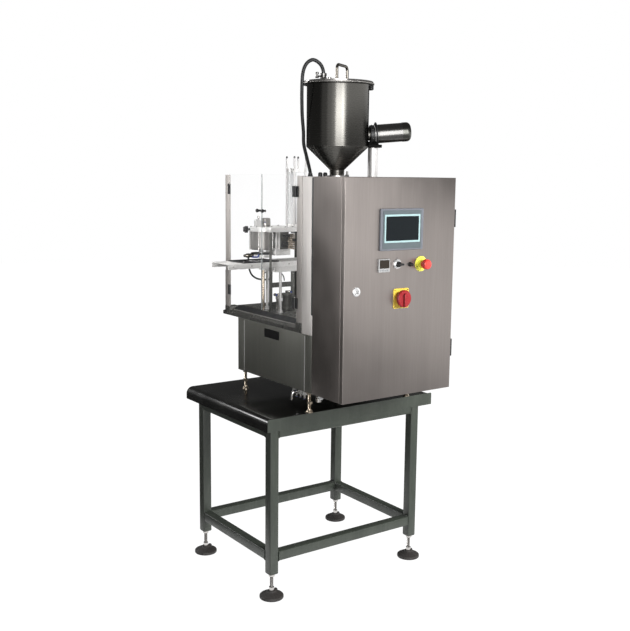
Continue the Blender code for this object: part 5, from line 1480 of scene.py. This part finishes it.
def air_hose():
    """The thick hose from the lid's elbow, over the rim and down to its socket on the bay wall."""
    hook = [around_hopper(-157.3, -0.029, 0.0262), around_hopper(-158.7, -0.028, 0.040),
            around_hopper(-162.8, -0.0246, 0.056), around_hopper(-168.3, -0.015, 0.068),
            around_hopper(-173.3, -0.004, 0.072), around_hopper(-178.8, 0.0073, 0.063),
            around_hopper(176.9, 0.0145, 0.044), around_hopper(173.4, 0.0160, 0.0166),
            around_hopper(169.8, 0.0135, -0.032), around_hopper(164.3, 0.0075, -0.080)]
    drop = [above_wall(-0.073, -0.039, 0.218), above_wall(-0.057, -0.024, 0.165),
            above_wall(-0.043, -0.007, 0.118), above_wall(-0.017, 0.010, 0.071),
            above_wall(0.005, 0.026, 0.036), above_wall(0.016, 0.033, 0.014)]
    route = smooth_route(hook + drop, 6)
    made = tube("air_hose", route, 0.0064, "rubber", replaces=("hopper_hose",), sides=24)
    socket = [(0, 0), (0.0100, 0), (0.0100, 0.004), (0.0085, 0.005), (0.0085, 0.0105), (0.0072, 0.0124),
              (0, 0.0124)]
    turned("hose_socket", socket, above_wall(0.016, 0.033, CLEAR), "black", sides=36)


def heater_lead():
    y = 0.815
    points = [(0.085, 0.4917), (0.085, 0.463), (0.087, 0.442), (0.100, 0.410), (0.126, 0.390),
              (0.160, 0.382), (0.1957, 0.381)]
    route = smooth_route([at(x, y, z) for x, z in points], 6)
    made = tube("heater_cable", route, 0.0039, "rubber", replaces=("heater_lead",), sides=20)
    strain = [(0, -0.0005), (0.0062, -0.0005), (0.0062, 0.004), (0.005, 0.009), (0, 0.0093)]
    turned("lead_gland_top", strain, at(0.085, y, 0.492), "black", sides=28)


# ------------------------------------------------------------------ studio

CAMERA_PLACE = Vector((-2.2721, -3.1160, 1.6812))
CAMERA_TURN = radians(-35.3946)
CAMERA_DOWN = radians(8.7453)
CAMERA_ROLL = radians(0.602)
CAMERA_LENS = 52.84


def camera():
    a, e = CAMERA_TURN, CAMERA_DOWN
    back = Vector((sin(a) * cos(e), -cos(a) * cos(e), sin(e)))
    right = Vector((cos(a), sin(a), 0))
    up = back.cross(right)
    rolled = cos(CAMERA_ROLL) * right + sin(CAMERA_ROLL) * up
    upright = cos(CAMERA_ROLL) * up - sin(CAMERA_ROLL) * right
    data = bpy.data.cameras.new("camera")
    data.lens = CAMERA_LENS
    data.sensor_width = 36
    data.sensor_fit = "HORIZONTAL"
    data.clip_end = 60
    made = bpy.data.objects.new("camera", data)
    bpy.context.scene.collection.objects.link(made)
    matrix = Matrix((rolled, upright, back)).transposed().to_4x4()
    made.matrix_world = Matrix.Translation(CAMERA_PLACE) @ matrix
    bpy.context.scene.camera = made


def softbox(name, place, aim, size, power):
    data = bpy.data.lights.new(name, "AREA")
    data.shape = "RECTANGLE"
    data.size, data.size_y = size
    data.energy = power
    made = bpy.data.objects.new(name, data)
    bpy.context.scene.collection.objects.link(made)
    made.location = place
    made.rotation_euler = (Vector(place) - Vector(aim)).to_track_quat("Z", "Y").to_euler()
    made.visible_camera = False
    return made


def seen_directly(tree):
    """1 on rays that see the background itself, by eye, in a mirror or through glass."""
    path = tree_node(tree, "ShaderNodeLightPath")
    total = path.outputs["Is Camera Ray"]
    for label in ("Is Glossy Ray", "Is Transmission Ray"):
        total = tree_node(tree, "ShaderNodeMath", [(0, total), (1, path.outputs[label])],
                          operation="MAXIMUM").outputs[0]
    return total


def bare_tree(owner):
    owner.use_nodes = True
    owner.node_tree.nodes.clear()
    return owner.node_tree


def mixed(tree, factor, first, second):
    return tree_node(tree, "ShaderNodeMixShader", [(0, factor), (1, first.outputs[0]),
                                                   (2, second.outputs[0])]).outputs[0]


def world():
    made = bpy.data.worlds.new("studio")
    tree = bare_tree(made)
    white = (1, 1, 1, 1)
    shown = tree_node(tree, "ShaderNodeBackground", [("Color", white)])
    lighting = tree_node(tree, "ShaderNodeBackground", [("Color", white), ("Strength", 0.16)])
    surface = mixed(tree, seen_directly(tree), lighting, shown)
    tree_node(tree, "ShaderNodeOutputWorld", [("Surface", surface)])
    bpy.context.scene.world = made


def floor():
    """A pale floor that reads as white and still takes a soft shadow."""
    made = bpy.data.materials.new("studio_floor")
    tree = bare_tree(made)
    matt = tree_node(tree, "ShaderNodeBsdfDiffuse", [("Color", (0.86, 0.86, 0.86, 1))])
    white = tree_node(tree, "ShaderNodeEmission", [("Strength", 1.12)])
    share = tree_node(tree, "ShaderNodeMath", [(0, seen_directly(tree)), (1, 0.90)], operation="MULTIPLY")
    surface = mixed(tree, share.outputs[0], matt, white)
    tree_node(tree, "ShaderNodeOutputMaterial", [("Surface", surface)])
    bpy.ops.mesh.primitive_circle_add(vertices=96, radius=14, fill_type="NGON", location=(0, 0, -0.0005))
    disc = bpy.context.object
    disc.name = "studio_floor"
    disc.data.materials.append(made)


def dark_card(name, start, end, low, high, strength):
    """A curved dark card between two (radius, height) edges, which only reflections see, as black
    card gives metal its dark bands."""
    steps = 48
    shape = bmesh.new()
    angles = [radians(start + (end - start) * n / steps) for n in range(steps + 1)]
    lower, upper = [[shape.verts.new((radius * sin(a), -radius * cos(a), z)) for a in angles]
                    for radius, z in (low, high)]
    for n in range(steps):
        shape.faces.new((lower[n], lower[n + 1], upper[n + 1], upper[n]))
    mesh = bpy.data.meshes.new(name)
    shape.to_mesh(mesh)
    shape.free()
    made = bpy.data.materials.new(name)
    tree = bare_tree(made)
    glow = tree_node(tree, "ShaderNodeEmission", [("Strength", strength)])
    tree_node(tree, "ShaderNodeOutputMaterial", [("Surface", glow.outputs[0])])
    mesh.materials.append(made)
    card = bpy.data.objects.new(name, mesh)
    bpy.context.scene.collection.objects.link(card)
    for rays in ("camera", "diffuse", "transmission", "shadow", "volume_scatter"):
        setattr(card, "visible_" + rays, False)


def spare(light, *names):
    """Keeps a light off the named pieces."""
    left_out = bpy.data.collections.new(light.name + "_left_out")
    light.light_linking.receiver_collection = left_out
    for name in names:
        left_out.objects.link(bpy.data.objects[name])
    for entry in left_out.collection_objects:
        entry.light_linking.link_state = "EXCLUDE"


def studio():
    bpy.context.scene.view_settings.view_transform = "Standard"
    world()
    floor()
    aim = (0, 0, 1.1)
    key = softbox("key", (1.3, -3.4, 2.5), aim, (1.3, 1.6), 150)
    right_fill = softbox("right_fill", (2.9, -2.2, 1.8), aim, (1.2, 1.8), 40)
    overhead = softbox("overhead", (0.2, 0.3, 3.2), aim, (2.0, 2.0), 50)
    bay_light = softbox("bay_light", (-2.4, -0.9, 2.3), (-0.1, 0.25, 1.35), (0.5, 0.5), 1.7)
    bay_light.data.spread = radians(28)
    for light in (key, right_fill, overhead, bay_light):
        light.visible_glossy = False
    strip = softbox("strip", (-2.03, -3.70, 1.80), (0, 0, 1.6), (2.1, 3.0), 125)
    left_fill = softbox("left_fill", (-1.94, 2.67, 2.05), (0, 0, 1.6), (1.2, 1.4), 62)
    soft_strip = softbox("soft_strip", (-1.10, -4.10, 1.80), (0, 0, 1.6), (1.0, 3.0), 27)
    for light in (strip, soft_strip, left_fill):
        light.visible_diffuse = False
    spare(left_fill, "hopper_shell")
    wide, tall = 3.3, 3.3
    for name, start, end, strength in (("back_card", 105, 235, 0.06), ("left_card", 235, 268, 0.06),
                                       ("grey_card", 268, 290, 0.25), ("pale_card", 290, 305, 0.65)):
        dark_card(name, start, end, (wide, 0.0), (wide, tall), strength)
    dark_card("high_card", -12, 105, (wide, 1.90), (wide, tall), 0.20)
    dark_card("low_card", -12, 105, (3.2, 0.0), (3.2, 0.40), 0.55)
    dark_card("ceiling_card", 0, 360, (0.01, 3.6), (wide, tall), 0.12)
    dark_card("near_floor_card", -60, 120, (0.90, 0.002), (wide, 0.002), 0.36)
    dark_card("far_floor_card", 120, 300, (0.90, 0.002), (wide, 0.002), 0.04)


# ------------------------------------------------------------------ the whole machine


def build():
    for step in (camera, air_hose, heater_lead, stand_frame, stand_welds, stand_top, stand_feet,
                 base_and_tray, machine_feet, air_inlet, guard_panels, guard_hinges, guard_knobs,
                 cup_slide, slide_columns, bay_brackets, head_plates, seal_cylinder, cap_fittings,
                 speed_knob, seal_die, valve_and_leads, magazine, cabinet, door_hinges,
                 cabinet_inside, touch_panel, counter, selector, push_button, stop_button,
                 main_switch, cam_lock, hopper, lid, motor, motor_post):
        step()
    frame["nodes"]["agitator"].data.materials.clear()
    frame["nodes"]["agitator"].data.materials.append(FINISHES["polished"][0])
    studio()


build()
